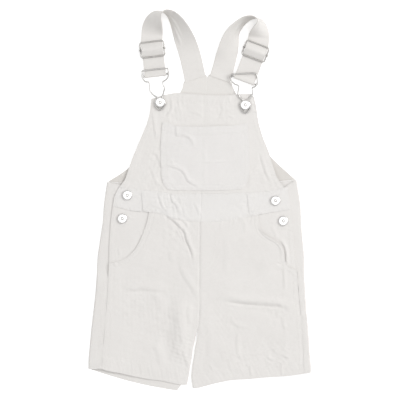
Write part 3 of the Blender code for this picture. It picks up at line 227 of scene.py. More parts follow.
BIB_CREASES = [
    ([(-36, 110.5), (-15, 110.2), (22, 110.5), (50, 111.5)], -0.5, 1.5, 0.0),
    ([(-71, 130.2), (-69.6, 112.5), (-66.6, 90.3)], 0.7, 2.8, 0.6),
    ([(-71, 68.1), (-65.1, 65.1), (-60.7, 53.3), (-56.2, 45.9)], 0.8, 2.8, 0.6),
    ([(-74, 47.4), (-69.6, 32.6), (-62.2, 17.8)], 0.7, 3.4, 0.4),
    ([(-82.9, 74), (-88.8, 54.8), (-97.7, 37)], -0.4, 6, 0),
    ([(-62.2, 25.2), (-57.7, 19.2), (-53.3, 11.8)], 0.6, 1.8, 0.6),
    ([(87.3, 72.5), (90.3, 59.2), (94.7, 44.4), (103.6, 23.7)], 0.9, 3.2, 0.55),
    ([(74, 44.4), (71, 29.6), (71, 14.8)], 0.7, 5, 0.5),
    ([(82.9, 53.3), (77, 41.4)], 0.4, 3, 0.4),
    ([(-42.9, 149.5), (-42.9, 140.6), (-45.9, 130.2), (-53.3, 121.4)], 0.6, 2.6, 0.6),
    ([(-34, 149.5), (-32.6, 140.6), (-32.6, 131.7)], 0.5, 1.8, 0.6),
    ([(-16.3, 128.8), (-4.4, 126.5), (4.4, 119.9)], 0.4, 2.2, 0.5),
    ([(-5.9, 146.5), (14.8, 146.5)], 0.25, 2, 0.4),
    ([(29.6, 143.6), (31.1, 133.2), (28.1, 119.9)], 0.5, 3, 0.4),
    ([(41.4, 153.9), (42.9, 142.1)], 0.3, 2, 0.4),
    ([(41.4, 122.8), (50.3, 121.4)], 0.5, 1.8, 0.5),
    ([(11.8, 116.9), (22.2, 118.4), (32.6, 119.9)], 0.4, 1.8, 0.4),
    ([(75.5, 143.6), (81.4, 137.6)], 0.5, 1.6, 0.5),
    ([(74, 136.2), (82.9, 134.7)], 0.4, 1.4, 0.5),
    ([(74, 130.2), (84.4, 129.5)], 0.6, 1.6, 0.5),
]
POCKET_CREASES = [
    ([(-42.9, 115.4), (-37, 108), (-35.5, 94.7), (-23.7, 94), (-14.8, 88.8), (-10.4, 78.4)], 0.9, 2.8, 0.6),
    ([(-23.7, 91.8), (-19.2, 82.9), (-11.8, 77)], -0.3, 3.5, 0),
    ([(-54.8, 50.3), (-42.9, 48.8), (-29.6, 43.7), (-23.7, 37),
      (-19.2, 28.1), (-10.4, 22.2), (-1.5, 17.8)], 1.1, 2.8, 0.6),
    ([(-42.9, 59.2), (-41.4, 50.3)], 0.4, 1.8, 0.5),
    ([(-41.4, 41.4), (-35.5, 26.6), (-35.5, 17.8)], -0.35, 5, 0),
    ([(-4.4, 54.8), (22.2, 54.8), (47.4, 55.5)], 0.35, 1.6, 0.6),
    ([(3, 77), (4.4, 65.1), (7.4, 53.3)], 0.3, 3.2, 0.3),
    ([(-3, 109.5), (-3, 100.6)], 0.35, 1.8, 0.5),
    ([(5.9, 108), (7.4, 74), (5.9, 17.8)], 0.18, 2.6, 0),
    ([(26.6, 108), (26.6, 100.6)], 0.25, 1.6, 0.4),
]
HIP_CREASES = [
    ([(116, -59), (121.5, -65), (125.5, -74), (126.5, -84), (126.5, -95)], 1.6, 2.4, 0.35),
    ([(-91.8, -47.4), (-87.3, -56.2), (-90.3, -68.1)], 0.4, 3, 0.4),
    ([(-122.8, -71), (-119.9, -82.9)], 0.4, 2.2, 0.5),
    ([(-106.6, -28.1), (-97.7, -29.6)], 0.4, 2.2, 0.4),
    ([(100.6, -34), (114, -32.6)], 0.5, 2.4, 0.4),
    ([(112.5, -42.9), (133.2, -44.4)], 0.35, 2.2, 0.4),
    ([(103.6, -38.5), (112.5, -59.2)], 0.4, 3, 0.3),
]
BACK_CREASES = [
    ([(-149.5, -143.6), (-139.1, -142.8)], 0.5, 1.6, 0.6),
    ([(-143.6, -51.8), (-137.6, -60.7)], 0.5, 2, 0.6),
    ([(-151, -185), (-142.1, -188)], 0.3, 2, 0.4),
    ([(145, -167.2), (152.4, -173.2)], 0.5, 2, 0.6),
    ([(149.5, -189.4), (153.9, -193.9)], 0.4, 2, 0.4),
]


# Crumpled spots: x, y, radius, height.
CRUMPLED = [(-44, -8, 26, 0.75), (-34, -50, 24, 0.6), (-22, -222, 24, 0.7), (-46, -180, 34, 0.45),
            (-37, 134, 20, 0.6), (-68, 32, 26, 0.6), (-60, 62, 22, 0.5), (62, -238, 30, 0.4),
            (112, -230, 24, 0.6), (70, -14, 20, 0.4), (100, 34, 24, 0.45), (34, 132, 24, 0.35),
            (118, -165, 22, 0.5), (-100, -150, 34, 0.35), (40, -178, 30, 0.35), (80, 138, 12, 0.6),
            (-30, 32, 20, 0.45), (-22, 92, 20, 0.4)]


# Curves and surfaces.
def smooth(table, spacing=None, count=None):
    """Points evenly spaced along the Catmull-Rom curve through the table's rows, about spacing mm apart."""
    rows = np.array(table, float)
    if len(rows) > 2:
        ends = np.vstack([2 * rows[0] - rows[1], rows, 2 * rows[-1] - rows[-2]])
        a, b, c, d = ends[:-3, None], ends[1:-2, None], ends[2:-1, None], ends[3:, None]
        t = np.linspace(0, 1, 24, endpoint=False)[None, :, None]
        curve = 0.5 * (2 * b + (c - a) * t + (2 * a - 5 * b + 4 * c - d) * t**2
                       + (3 * b - a - 3 * c + d) * t**3)
        rows = np.vstack([curve.reshape(-1, rows.shape[1]), rows[-1]])
    return even(rows, spacing, count)


def even(rows, spacing=None, count=None):
    """Points evenly spaced by length in plan along straight lines between the rows."""
    rows = np.asarray(rows, float)
    run = np.concatenate([[0], np.cumsum(np.linalg.norm(np.diff(rows[:, :2], axis=0), axis=1))])
    at = np.linspace(0, run[-1], (count or max(2, round(run[-1] / spacing))) + 1)
    return np.stack([np.interp(at, run, column) for column in rows.T], axis=1)


def joined(*runs):
    return np.vstack([run[:-1] for run in runs[:-1]] + [runs[-1]])


def patch(top, foot, left, right):
    """Coons surface: the two ruled surfaces between facing edges, added, less the one through the corners."""
    u = np.linspace(0, 1, len(top))[None, :, None]
    v = np.linspace(0, 1, len(left))[:, None, None]
    ruled = (1 - v) * top[None] + v * foot[None] + (1 - u) * left[:, None] + u * right[:, None]
    corners = (1 - u) * (1 - v) * top[0] + u * (1 - v) * top[-1] + (1 - u) * v * foot[0] + u * v * foot[-1]
    return ruled - corners


def pulled_in(grid, amounts=(SEAM_PULL,) * 4):
    """The grid with its top, foot, left and right edge each moved inwards in plan, square to the edge."""
    moved = grid.copy()
    for amount, edge, inner in zip(
        amounts,
        ((0, slice(None)), (-1, slice(None)), (slice(None), 0), (slice(None), -1)),
        ((1, slice(None)), (-2, slice(None)), (slice(None), 1), (slice(None), -2)),
    ):
        line = grid[edge][:, :2]
        along = np.gradient(line, axis=0)
        across = np.stack([-along[:, 1], along[:, 0]], axis=1)
        across /= np.linalg.norm(across, axis=1)[:, None]
        side = np.sign(np.sum(across * (grid[inner][:, :2] - line), axis=1, keepdims=True))
        moved[edge] += np.pad(across * side * amount, ((0, 0), (0, grid.shape[2] - 2)))
    return moved


def nearest(path, x, y):
    """Distance in plan to the path, length along it to the nearest point, the side (+1 left of its run), and
    the path's whole length."""
    path = np.asarray(path, float)[:, :2]
    best = np.full(x.shape, 1e9)
    along = np.zeros(x.shape)
    side = np.ones(x.shape)
    run = 0.0
    for start, end in zip(path[:-1], path[1:]):
        step = end - start
        length = np.hypot(*step)
        if length < 1e-9:
            continue
        t = np.clip(((x - start[0]) * step[0] + (y - start[1]) * step[1]) / length**2, 0, 1)
        dx, dy = x - start[0] - t * step[0], y - start[1] - t * step[1]
        d = np.hypot(dx, dy)
        closer = d < best
        best = np.where(closer, d, best)
        along = np.where(closer, run + t * length, along)
        side = np.where(closer, np.sign(step[0] * dy - step[1] * dx), side)
        run += length
    return best, along, side, run


def crease_height(x, y, creases):
    """Each fold: height * exp(-((d - 0.9 w) / w)^2), less share * height * exp(-((d + 0.3 w) / (0.45 w))^2),
    where d is the distance to the left of the path and w the half-width; a trough is height * exp(-(d / w)^2).
    All fade over their ends."""
    total = np.zeros_like(x)
    for path, height, width, beside in creases:
        d, s, side, length = nearest(smooth(path, count=24), x, y)
        signed = d * side
        fade = np.clip(np.minimum(s, length - s) / (0.3 * length) + 0.15, 0, 1)
        over = np.clip(1 - (d - 2.2 * width) / width, 0, 1)
        middle = 0.9 * width if beside else 0.0
        ridge = np.exp(-(((signed - middle) / width) ** 2))
        bell = ridge - beside * np.exp(-(((signed + 0.3 * width) / (0.45 * width)) ** 2))
        total += height * bell * fade * fade * (3 - 2 * fade) * over
    return total


def soft_waves(x, y, size, seed):
    """Low waves of hand-laid cloth: sum of sines at uneven lengths and headings, between about -1 and 1."""
    total = np.zeros_like(x)
    for i, (length, heading) in enumerate(((1.0, 0.3), (0.73, 1.9), (0.57, 2.6), (0.41, 0.9), (1.37, 1.3))):
        a = heading + 0.7 * seed
        total += np.sin((x * np.cos(a) + y * np.sin(a)) * 2 * np.pi / (size * length) + 1.7 * seed + 2.1 * i)
    return total / 5


def crumple(x, y, spots):
    """Small uneven wrinkles: waves of about 13 and 8 mm, each spot a bell of its own radius and height."""
    total = np.zeros_like(x)
    for cx, cy, radius, height in spots:
        bell = np.exp(-((x - cx) ** 2 + (y - cy) ** 2) / radius**2)
        total += height * bell * (soft_waves(x, y, 15, cx) + 0.6 * soft_waves(x, y, 9, cy))
    return total


PUCKER_WAVES = ((6.7, 1, 1), (10.9, 0.8, 2.3), (4.6, 0.6, 0.9), (17.3, 0.7, 3.1))  # mm, share, phase


def puckers(s, d, seed):
    """Small gathers of a sewn edge: uneven sines along it, leaning as they run inwards."""
    at = s + 0.35 * d
    return sum(share * np.sin(at * 2 * np.pi / length + turn * seed)
               for length, share, turn in PUCKER_WAVES) / 3.1


def edge_of(grid, edge):
    """The grid turned so that its first axis runs along the named edge and its second runs inwards."""
    return {"top": grid.transpose(1, 0, 2), "foot": grid[::-1].transpose(1, 0, 2),
            "left": grid, "right": grid[:, ::-1]}[edge]


EDGE_POINTS = 90  # an edge is read at about this many points


def finish_edge(grid, edge, rows=(), groove=0.2, rise=0.0, band=0.0, pucker=0.0, seed=1.0, reach=9.0):
    """Relief beside a sewn edge: grooves under its stitch rows, a raised band (hem or seam layers), puckers."""
    path = edge_of(grid, edge)[:, 0]
    step = max(1, len(path) // EDGE_POINTS)
    d, s, _, _ = nearest(np.vstack([path[::step], path[-1:]]), grid[..., 0], grid[..., 1])
    for row in rows:
        grid[..., 2] -= groove * np.exp(-(((d - row) / 1.0) ** 2))
    if band:
        grid[..., 2] += rise / (1 + np.exp(np.clip((d - band) / 0.45, -30, 30)))
    if pucker:
        middle = max(rows) * 0.6 if rows else reach / 2
        grid[..., 2] += pucker * puckers(s, d, seed) * np.exp(-(((d - middle) / (reach * 0.6)) ** 2))


def line_beside(grid, edge, distance):
    """Points on the grid that lie this far in plan from the edge: each line inwards, read where it gets there.
    Lines that never get there are left out."""
    turned = edge_of(grid, edge)
    path = turned[:, 0]
    deep = turned[:, : min(turned.shape[1], int(distance / CELL * 2.2) + 6)]
    step = max(1, len(path) // EDGE_POINTS)
    d = nearest(np.vstack([path[::step], path[-1:]]), deep[..., 0], deep[..., 1])[0]
    d = np.maximum.accumulate(d, axis=1) + np.arange(deep.shape[1]) * 1e-6
    past = np.clip((d < distance).sum(axis=1), 1, deep.shape[1] - 1)
    pick = np.arange(len(d))
    low, high = d[pick, past - 1], d[pick, past]
    t = np.clip((distance - low) / np.maximum(high - low, 1e-6), 0, 1)[:, None]
    line = deep[pick, past - 1] * (1 - t) + deep[pick, past] * t
    return line[d[:, -1] > distance]


def height_on(grid, x, y):
    """Height of the grid at points in plan: the nearest vertex's, carried along the surface's slope there."""
    flat = grid.reshape(-1, 3)
    ru, rv = np.gradient(grid, axis=0), np.gradient(grid, axis=1)
    det = ru[..., 0] * rv[..., 1] - ru[..., 1] * rv[..., 0]
    slope_x = ((ru[..., 2] * rv[..., 1] - rv[..., 2] * ru[..., 1]) / det).ravel()
    slope_y = ((rv[..., 2] * ru[..., 0] - ru[..., 2] * rv[..., 0]) / det).ravel()
    px, py = np.ravel(x), np.ravel(y)
    height = np.empty(len(px))
    for part in np.array_split(np.arange(len(px)), max(1, len(px) // 400)):
        gap = (px[part, None] - flat[:, 0]) ** 2 + (py[part, None] - flat[:, 1]) ** 2
        at = gap.argmin(axis=1)
        height[part] = (flat[at, 2] + slope_x[at] * (px[part] - flat[at, 0])
                        + slope_y[at] * (py[part] - flat[at, 1]))
    return height.reshape(np.shape(x))


# Meshes.
def make_mesh(name, points, faces, look, uv=None):
    """A mesh piece from points in mm; uv is one pair of metres per point, kept as the map 'cut'."""
    mesh = bpy.data.meshes.new(name)
    mesh.from_pydata(((np.asarray(points) + SHIFT) * MM).tolist(), [], faces)
    mesh.materials.append(look)
    mesh.polygons.foreach_set("use_smooth", np.ones(len(mesh.polygons), bool))
    if uv is not None:
        layer = mesh.uv_layers.new(name="cut")
        corner = np.empty(len(mesh.loops), np.int32)
        mesh.loops.foreach_get("vertex_index", corner)
        layer.data.foreach_set("uv", np.asarray(uv)[corner].ravel())
    mesh.update()
    piece = bpy.data.objects.new(name, mesh)
    bpy.context.scene.collection.objects.link(piece)
    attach(piece, BODY)
    return piece


def grid_faces(rows, cols, closed_rows=False, closed_cols=False, first=0):
    """Quads of a grid of points, seen from the side where axis 0 runs down and axis 1 to the right."""
    i = np.arange(rows if closed_rows else rows - 1)[:, None]
    j = np.arange(cols if closed_cols else cols - 1)[None, :]
    i2, j2 = (i + 1) % rows, (j + 1) % cols
    quads = np.stack(np.broadcast_arrays(i * cols + j, i2 * cols + j, i2 * cols + j2, i * cols + j2), axis=-1)
    return quads.reshape(-1, 4) + first


def normals_of(grid):
    """Unit normals: the cross product of the step down the grid and the step across it."""
    normal = np.cross(np.gradient(grid, axis=0), np.gradient(grid, axis=1))
    return normal / np.linalg.norm(normal, axis=-1, keepdims=True)


def shell_mesh(name, grid, thickness, look, uv=None, under=None):
    """Closed cloth shell: the grid moved half the thickness both ways along its normals, with a wall round its
    border, whose edges are kept crisp. under is the lowest height that the cloth may reach."""
    rows, cols = grid.shape[:2]
    normal = normals_of(grid)
    upper, lower = grid + normal * thickness / 2, grid - normal * thickness / 2
    for side, keep in ((upper, -0.1), (lower, 0.1)):
        for edge in ((0, slice(None)), (-1, slice(None)), (slice(None), 0), (slice(None), -1)):
            side[edge] += normal[edge] * thickness * keep
    if under is not None:
        for side in (upper, lower):
            side[..., 2] = np.maximum(side[..., 2], under)
    count = rows * cols
    at = np.arange(count).reshape(rows, cols)
    border = np.concatenate([at[:-1, 0], at[-1, :-1], at[:0:-1, -1], at[0, :0:-1]])
    step = np.roll(border, -1)
    wall = np.stack([border, border + count, step + count, step], axis=-1)
    faces = np.concatenate([grid_faces(rows, cols), grid_faces(rows, cols)[:, ::-1] + count, wall])
    points = np.concatenate([upper.reshape(-1, 3), lower.reshape(-1, 3)])
    spread = grid[..., :2] * MM if uv is None else uv
    piece = make_mesh(name, points, faces.tolist(), look, np.tile(spread.reshape(-1, 2), (2, 1)))
    ends = np.empty(len(piece.data.edges) * 2, np.int32)
    piece.data.edges.foreach_get("vertices", ends)
    ends = ends.reshape(-1, 2)
    on_border = np.isin(ends % count, border).all(axis=1) & (ends[:, 0] // count == ends[:, 1] // count)
    piece.data.edges.foreach_set("use_edge_sharp", on_border)
    return piece


def cloth(name, grid, thickness, look, uv=None, under=None):
    """A cloth piece in place of the CAD node of its name: its shell, with the cut as its uv map and the lowest
    height it may reach; the node is hidden.
    """
    piece = shell_mesh(name + "_cloth", grid, thickness, look, uv, under)
    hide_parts(name)
    return piece


STITCH, STITCH_GAP, THREAD = 2.3, 0.9, 0.24  # mm


def stitch_row(line, lift, face=None):
    """Every stitch of one row: tubes of five sides and five sections, whose height is a half sine over their
    length. face holds the cloth's normals along the line where it doesn't lie flat."""
    line = np.asarray(line, float)
    face = np.tile([0, 0, 1.0], (len(line), 1)) if face is None else face
    run = np.concatenate([[0], np.cumsum(np.linalg.norm(np.diff(line, axis=0), axis=1))])
    count = int(run[-1] / (STITCH + STITCH_GAP))
    if count < 2:
        return np.empty((0, 5, 5, 3))
    start = (np.arange(count) + 0.15) * run[-1] / count
    t = np.linspace(0, 1, 5)
    at = start[:, None] + STITCH * t[None]
    centre = np.stack([np.interp(at, run, column) for column in line.T], axis=-1)
    along = centre[:, -1] - centre[:, 0]
    along /= np.linalg.norm(along, axis=1)[:, None]
    out = np.stack([np.interp(at[:, 2], run, column) for column in face.T], axis=-1)
    sideways = np.cross(along, out)
    sideways /= np.linalg.norm(sideways, axis=1)[:, None]
    up = np.cross(sideways, along)
    centre = centre + up[:, None] * (lift - 0.12 + 0.2 * np.sin(np.pi * t))[None, :, None]
    radius = THREAD * np.array([0.45, 0.95, 1.0, 0.95, 0.45])
    turn = np.arange(5) * 2 * np.pi / 5
    ring = (sideways[:, None, None] * np.cos(turn)[None, None, :, None]
            + up[:, None, None] * np.sin(turn)[None, None, :, None])
    return centre[:, :, None] + ring * radius[None, :, None, None]


def stitching(name, rows, look):
    """One piece of thread from many rows, each (line, height of the thread over it, normals or None)."""
    tubes = np.concatenate([stitch_row(*row) for row in rows])
    tubes[..., 2] = np.maximum(tubes[..., 2], 0)
    count = len(tubes)
    sides = grid_faces(5, 5, closed_cols=True)
    base = (np.arange(count) * 25)[:, None, None]
    faces = (sides[None] + base).reshape(-1, 4).tolist()
    first, last = np.arange(5), np.arange(20, 25)[::-1]
    faces += (first[None] + base[:, 0]).tolist() + (last[None] + base[:, 0]).tolist()
    piece = make_mesh(name, tubes.reshape(-1, 3), faces, look)
    return piece


def tube_points(path, radius, sides=12, closed=True):
    """Rings of points round a path: at each point the radius times the cosine and sine round its heading."""
    path = np.asarray(path, float)
    if closed:
        along = np.roll(path, -1, axis=0) - np.roll(path, 1, axis=0)
    else:
        along = np.gradient(path, axis=0)
    along /= np.linalg.norm(along, axis=1)[:, None]
    sideways = np.cross(along, [0, 0, 1.0])
    sideways /= np.linalg.norm(sideways, axis=1)[:, None]
    up = np.cross(sideways, along)
    turn = np.arange(sides) * 2 * np.pi / sides
    return (path[:, None] + radius * (sideways[:, None] * np.cos(turn)[None, :, None]
                                      + up[:, None] * np.sin(turn)[None, :, None]))


def tube(path, radius, sides=12, closed=True, first=0):
    rings = tube_points(path, radius, sides, closed)
    faces = grid_faces(len(path), sides, closed_rows=closed, closed_cols=True, first=first).tolist()
    if not closed:
        faces += [list(range(first, first + sides)),
                  list(range(first + len(path) * sides - 1, first + (len(path) - 1) * sides - 1, -1))]
    return rings.reshape(-1, 3), faces


def turned_solid(profile, centre, sides=48, first=0):
    """A profile of (radius, height) turned round the upright through the centre, with a fan at each end."""
    profile = np.asarray(profile, float)
    turn = np.arange(sides) * 2 * np.pi / sides
    ring = np.stack([profile[1:-1, None, 0] * np.cos(turn), profile[1:-1, None, 0] * np.sin(turn),
                     np.repeat(profile[1:-1, None, 1], sides, axis=1)], axis=-1).reshape(-1, 3)
    points = np.vstack([ring, [0, 0, profile[0, 1]], [0, 0, profile[-1, 1]]]) + [*centre, 0]
    rings = len(profile) - 2
    faces = grid_faces(rings, sides, closed_cols=True, first=first).tolist()
    top, foot = first + rings * sides, first + rings * sides + 1
    low = first + (rings - 1) * sides
    faces += [[top, first + i, first + (i + 1) % sides] for i in range(sides)]
    faces += [[foot, low + (i + 1) % sides, low + i] for i in range(sides)]
    return points, faces


def gathered(parts):
    """Points and faces of several parts put together; each part is a function of its first index."""
    points, faces = [], []
    for part in parts:
        more, quads = part(sum(len(p) for p in points))
        points.append(more)
        faces += quads
    return np.vstack(points), faces


# Materials.
def socket(group, name, kind, value=None, output=False):
    way = "OUTPUT" if output else "INPUT"
    made = group.interface.new_socket(name, in_out=way, socket_type="NodeSocket" + kind)
    if value is not None:
        made.default_value = value


def node(tree, kind, **settings):
    made = tree.nodes.new("ShaderNode" + kind)
    for key, value in settings.items():
        setattr(made, key, value)
    return made


def math_node(tree, operation, first, second=None, third=None):
    made = node(tree, "Math", operation=operation)
    for place, value in enumerate((first, second, third)):
        if value is None:
            continue
        if isinstance(value, (int, float)):
            made.inputs[place].default_value = value
        else:
            tree.links.new(value, made.inputs[place])
    return made.outputs[0]


FULL_TURN = 6.2832


def twill_group():
    """Twill: ribs are a sine of 1.7 across + along the cut, broken into yarns by a sine of along, and both are
    shifted by noise."""
    group = bpy.data.node_groups.new("twill_weave", "ShaderNodeTree")
    socket(group, "Cut", "Vector")
    socket(group, "Rib spacing", "Float", 0.0009)
    socket(group, "Unevenness", "Float", 0.4)
    socket(group, "Height", "Float", output=True)
    socket(group, "Weave shade and tone", "Float", output=True)
    given, result = group.nodes.new("NodeGroupInput"), group.nodes.new("NodeGroupOutput")
    noise = node(group, "TexNoise")
    noise.inputs["Scale"].default_value = 420
    noise.inputs["Detail"].default_value = 2
    group.links.new(given.outputs["Cut"], noise.inputs["Vector"])
    split = node(group, "SeparateXYZ")
    group.links.new(given.outputs["Cut"], split.inputs[0])
    shift = math_node(group, "MULTIPLY", math_node(group, "SUBTRACT", noise.outputs["Fac"], 0.5),
                      given.outputs["Unevenness"])
    across, along = split.outputs["X"], split.outputs["Y"]
    leaning = math_node(group, "ADD", math_node(group, "MULTIPLY", across, 1.7), along)
    turns = math_node(group, "DIVIDE", leaning, given.outputs["Rib spacing"])
    shifted = math_node(group, "ADD", turns, shift)
    rib = math_node(group, "SINE", math_node(group, "MULTIPLY", shifted, FULL_TURN))
    yarns = math_node(group, "DIVIDE", along, math_node(group, "MULTIPLY", given.outputs["Rib spacing"], 0.62))
    shifted = math_node(group, "ADD", yarns, shift)
    yarn = math_node(group, "SINE", math_node(group, "MULTIPLY", shifted, FULL_TURN))
    height = math_node(group, "MULTIPLY_ADD", rib, 0.3, math_node(group, "MULTIPLY_ADD", yarn, 0.12, 0.5))
    group.links.new(height, result.inputs["Height"])
    # Colour share: painted shade from the weave's height, darker in its gaps, with a little random tone from
    # the noise.
    uneven = math_node(group, "MULTIPLY", noise.outputs["Fac"], 0.3)
    group.links.new(math_node(group, "MULTIPLY_ADD", height, 0.7, uneven), result.inputs["Weave shade and tone"])
    return group


def mottle_group():
    """Soft unevenness of washed cloth: two sizes of noise on the piece's own place, from 0 to 1."""
    group = bpy.data.node_groups.new("washed_mottle", "ShaderNodeTree")
    socket(group, "Place", "Vector")
    socket(group, "Broad scale", "Float", 22.0)
    socket(group, "Fine scale", "Float", 260.0)
    socket(group, "Mottle", "Float", output=True)
    given, result = group.nodes.new("NodeGroupInput"), group.nodes.new("NodeGroupOutput")
    values = []
    for name, detail in (("Broad scale", 3.0), ("Fine scale", 2.0)):
        noise = node(group, "TexNoise")
        noise.inputs["Detail"].default_value = detail
        group.links.new(given.outputs["Place"], noise.inputs["Vector"])
        group.links.new(given.outputs[name], noise.inputs["Scale"])
        values.append(noise.outputs["Fac"])
    fine = math_node(group, "MULTIPLY", values[1], 0.4)
    group.links.new(math_node(group, "MULTIPLY_ADD", values[0], 0.6, fine), result.inputs["Mottle"])
    return group


def new_material(name):
    look = bpy.data.materials.new(name)
    look.use_nodes = True
    look.node_tree.nodes.clear()
    shader, result = node(look.node_tree, "BsdfPrincipled"), node(look.node_tree, "OutputMaterial")
    look.node_tree.links.new(shader.outputs[0], result.inputs[0])
    return look, look.node_tree, shader


def mixed(tree, share, first, second):
    made = node(tree, "Mix", data_type="RGBA")
    tree.links.new(share, made.inputs["Factor"])
    made.inputs["A"].default_value = (*first, 1)
    made.inputs["B"].default_value = (*second, 1)
    return made.outputs["Result"]


PAINTED_SHADE = (0.92, 0.912, 0.90)  # painted shade: share of the colour kept where cloth lies between layers


def cloth_look(name, light, shade, rib=0.0009, depth=0.12, uneven=0.4, painted_shade_span=None):
    """Cotton twill: the weave group drives colour between its lit yarns and their gaps, painted shade, and the
    bump.
    Where a range of Y in metres is given, shade is painted: towards its low end the cloth is darker, where the
    layers lie close."""
    look, tree, shader = new_material(name)
    cut = node(tree, "UVMap", uv_map="cut")
    place = node(tree, "TexCoord")
    weave, mottle = node(tree, "Group", node_tree=TWILL_WEAVE), node(tree, "Group", node_tree=MOTTLE)
    tree.links.new(cut.outputs[0], weave.inputs["Cut"])
    weave.inputs["Rib spacing"].default_value = rib
    weave.inputs["Unevenness"].default_value = uneven
    tree.links.new(place.outputs["Object"], mottle.inputs["Place"])
    share = math_node(tree, "MULTIPLY_ADD", weave.outputs["Weave shade and tone"], 0.45,
                      math_node(tree, "MULTIPLY", mottle.outputs["Mottle"], 0.6))
    colour = mixed(tree, share, shade, light)
    # Painted shade: the colour darkens towards the low end of the given Y range, where cloth lies between
    # layers.
    if painted_shade_span:
        split, fade = node(tree, "SeparateXYZ"), node(tree, "MapRange", interpolation_type="SMOOTHSTEP")
        tree.links.new(place.outputs["Object"], split.inputs[0])
        tree.links.new(split.outputs["Y"], fade.inputs["Value"])
        fade.inputs["From Min"].default_value, fade.inputs["From Max"].default_value = painted_shade_span
        painted_shade_mix = node(tree, "Mix", data_type="RGBA", blend_type="MULTIPLY")
        painted_shade_mix.inputs["Factor"].default_value = 1
        tree.links.new(colour, painted_shade_mix.inputs["A"])
        tree.links.new(mixed(tree, fade.outputs[0], PAINTED_SHADE, (1, 1, 1)), painted_shade_mix.inputs["B"])
        colour = painted_shade_mix.outputs["Result"]
    tree.links.new(colour, shader.inputs["Base Color"])
    rough = node(tree, "MapRange")
    rough.inputs["To Min"].default_value, rough.inputs["To Max"].default_value = 0.93, 0.8
    tree.links.new(weave.outputs["Height"], rough.inputs["Value"])
    tree.links.new(rough.outputs[0], shader.inputs["Roughness"])
    bump = node(tree, "Bump")
    bump.inputs["Strength"].default_value = 0.5
    bump.inputs["Distance"].default_value = depth * MM
    tree.links.new(weave.outputs["Height"], bump.inputs["Height"])
    tree.links.new(bump.outputs[0], shader.inputs["Normal"])
    shader.inputs["Sheen Weight"].default_value = 0.12
    shader.inputs["Sheen Roughness"].default_value = 0.5
    shader.inputs["Specular IOR Level"].default_value = 0.2
    return look


def thread_look(name, light, shade):
    """Cotton thread: a fine noise shades its ply."""
    look, tree, shader = new_material(name)
    place, noise = node(tree, "TexCoord"), node(tree, "TexNoise")
    noise.inputs["Scale"].default_value = 1400
    tree.links.new(place.outputs["Object"], noise.inputs["Vector"])
    tree.links.new(mixed(tree, noise.outputs["Fac"], shade, light), shader.inputs["Base Color"])
    shader.inputs["Roughness"].default_value = 0.7
    bump = node(tree, "Bump")
    bump.inputs["Strength"].default_value = 0.3
    bump.inputs["Distance"].default_value = 0.05 * MM
    tree.links.new(noise.outputs["Fac"], bump.inputs["Height"])
    tree.links.new(bump.outputs[0], shader.inputs["Normal"])
    return look


def metal_look(name, light, shade, rough_low, rough_high, scale):
    """Plated metal: noise varies its colour a little and its roughness between two values, with faint wear."""
    look, tree, shader = new_material(name)
    place, mottle, wear = node(tree, "TexCoord"), node(tree, "Group", node_tree=MOTTLE), node(tree, "TexNoise")
    mottle.inputs["Broad scale"].default_value = scale
    mottle.inputs["Fine scale"].default_value = scale * 12
    wear.inputs["Scale"].default_value = scale * 30
    for target in (mottle.inputs["Place"], wear.inputs["Vector"]):
        tree.links.new(place.outputs["Object"], target)
    tree.links.new(mixed(tree, mottle.outputs["Mottle"], shade, light), shader.inputs["Base Color"])
    rough = node(tree, "MapRange")
    rough.inputs["To Min"].default_value, rough.inputs["To Max"].default_value = rough_low, rough_high
    tree.links.new(mottle.outputs["Mottle"], rough.inputs["Value"])
    tree.links.new(rough.outputs[0], shader.inputs["Roughness"])
    bump = node(tree, "Bump")
    bump.inputs["Strength"].default_value = 0.15
    bump.inputs["Distance"].default_value = 0.03 * MM
    tree.links.new(wear.outputs["Fac"], bump.inputs["Height"])
    tree.links.new(bump.outputs[0], shader.inputs["Normal"])
    shader.inputs["Metallic"].default_value = 1.0
    return look


TWILL_WEAVE, MOTTLE = twill_group(), mottle_group()
FRONT = cloth_look("front_twill", (0.83, 0.808, 0.785), (0.71, 0.69, 0.668))
POCKET_TWILL = cloth_look("pocket_twill", (0.835, 0.815, 0.798), (0.715, 0.698, 0.682))
WAIST = cloth_look("waist_twill", (0.84, 0.822, 0.805), (0.72, 0.705, 0.688))
BACK = cloth_look("back_twill", (0.825, 0.803, 0.78), (0.705, 0.685, 0.663))
# The back's inside gets painted shade towards its low Y, between the layers.
INSIDE = cloth_look("back_inside_twill", (0.82, 0.798, 0.77), (0.70, 0.68, 0.654), depth=0.15,
                    painted_shade_span=(0.04, 0.10))
STRAP_TWILL = cloth_look("strap_twill", (0.815, 0.792, 0.768), (0.695, 0.675, 0.65), rib=0.0008)
THREAD_LOOK = thread_look("off_white_thread", (0.86, 0.845, 0.82), (0.74, 0.722, 0.70))
NICKEL = metal_look("bright_nickel", (0.60, 0.585, 0.565), (0.40, 0.385, 0.37), 0.2, 0.38, 90)
# Painted light: the clasps take a lighter copy of the nickel, to lift the shade they lie in under the bib
# buttons.
CLASP_NICKEL_PAINTED_LIGHT = metal_look("clasp_nickel_painted_light", (0.68, 0.668, 0.655), (0.46, 0.448, 0.436), 0.22, 0.4, 90)
BUTTON_METAL = metal_look("brushed_button", (0.96, 0.955, 0.945), (0.84, 0.83, 0.82), 0.18, 0.34, 120)
# Painted shade: a darker metal for the faces in the buttons' groove.
BUTTON_GROOVE_SHADE = metal_look("button_groove_painted_shade", (0.50, 0.48, 0.46), (0.34, 0.33, 0.31), 0.25, 0.45, 120)


# Cloth panels.
BACK_LAYERS = ["back_leg_left_cloth", "back_leg_right_cloth", "back_bib_left_cloth", "back_bib_right_cloth"]
FLAT = CLOTH / 2


def at_height(plan, height):
    return np.concatenate([plan, np.full(plan.shape[:2] + (1,), float(height))], axis=-1)


SIDE_GAP = 0.42  # mm, how far the solids stand apart at the side seam; the cloth closes it
SEAM_LAP = 0.35  # mm, how far a back leg's top goes towards the back bib
# Cells across a back leg: on the table, round its side, and on the front.
FLAT_STEPS, BEND_STEPS, OVER_STEPS = 60, 10, 8


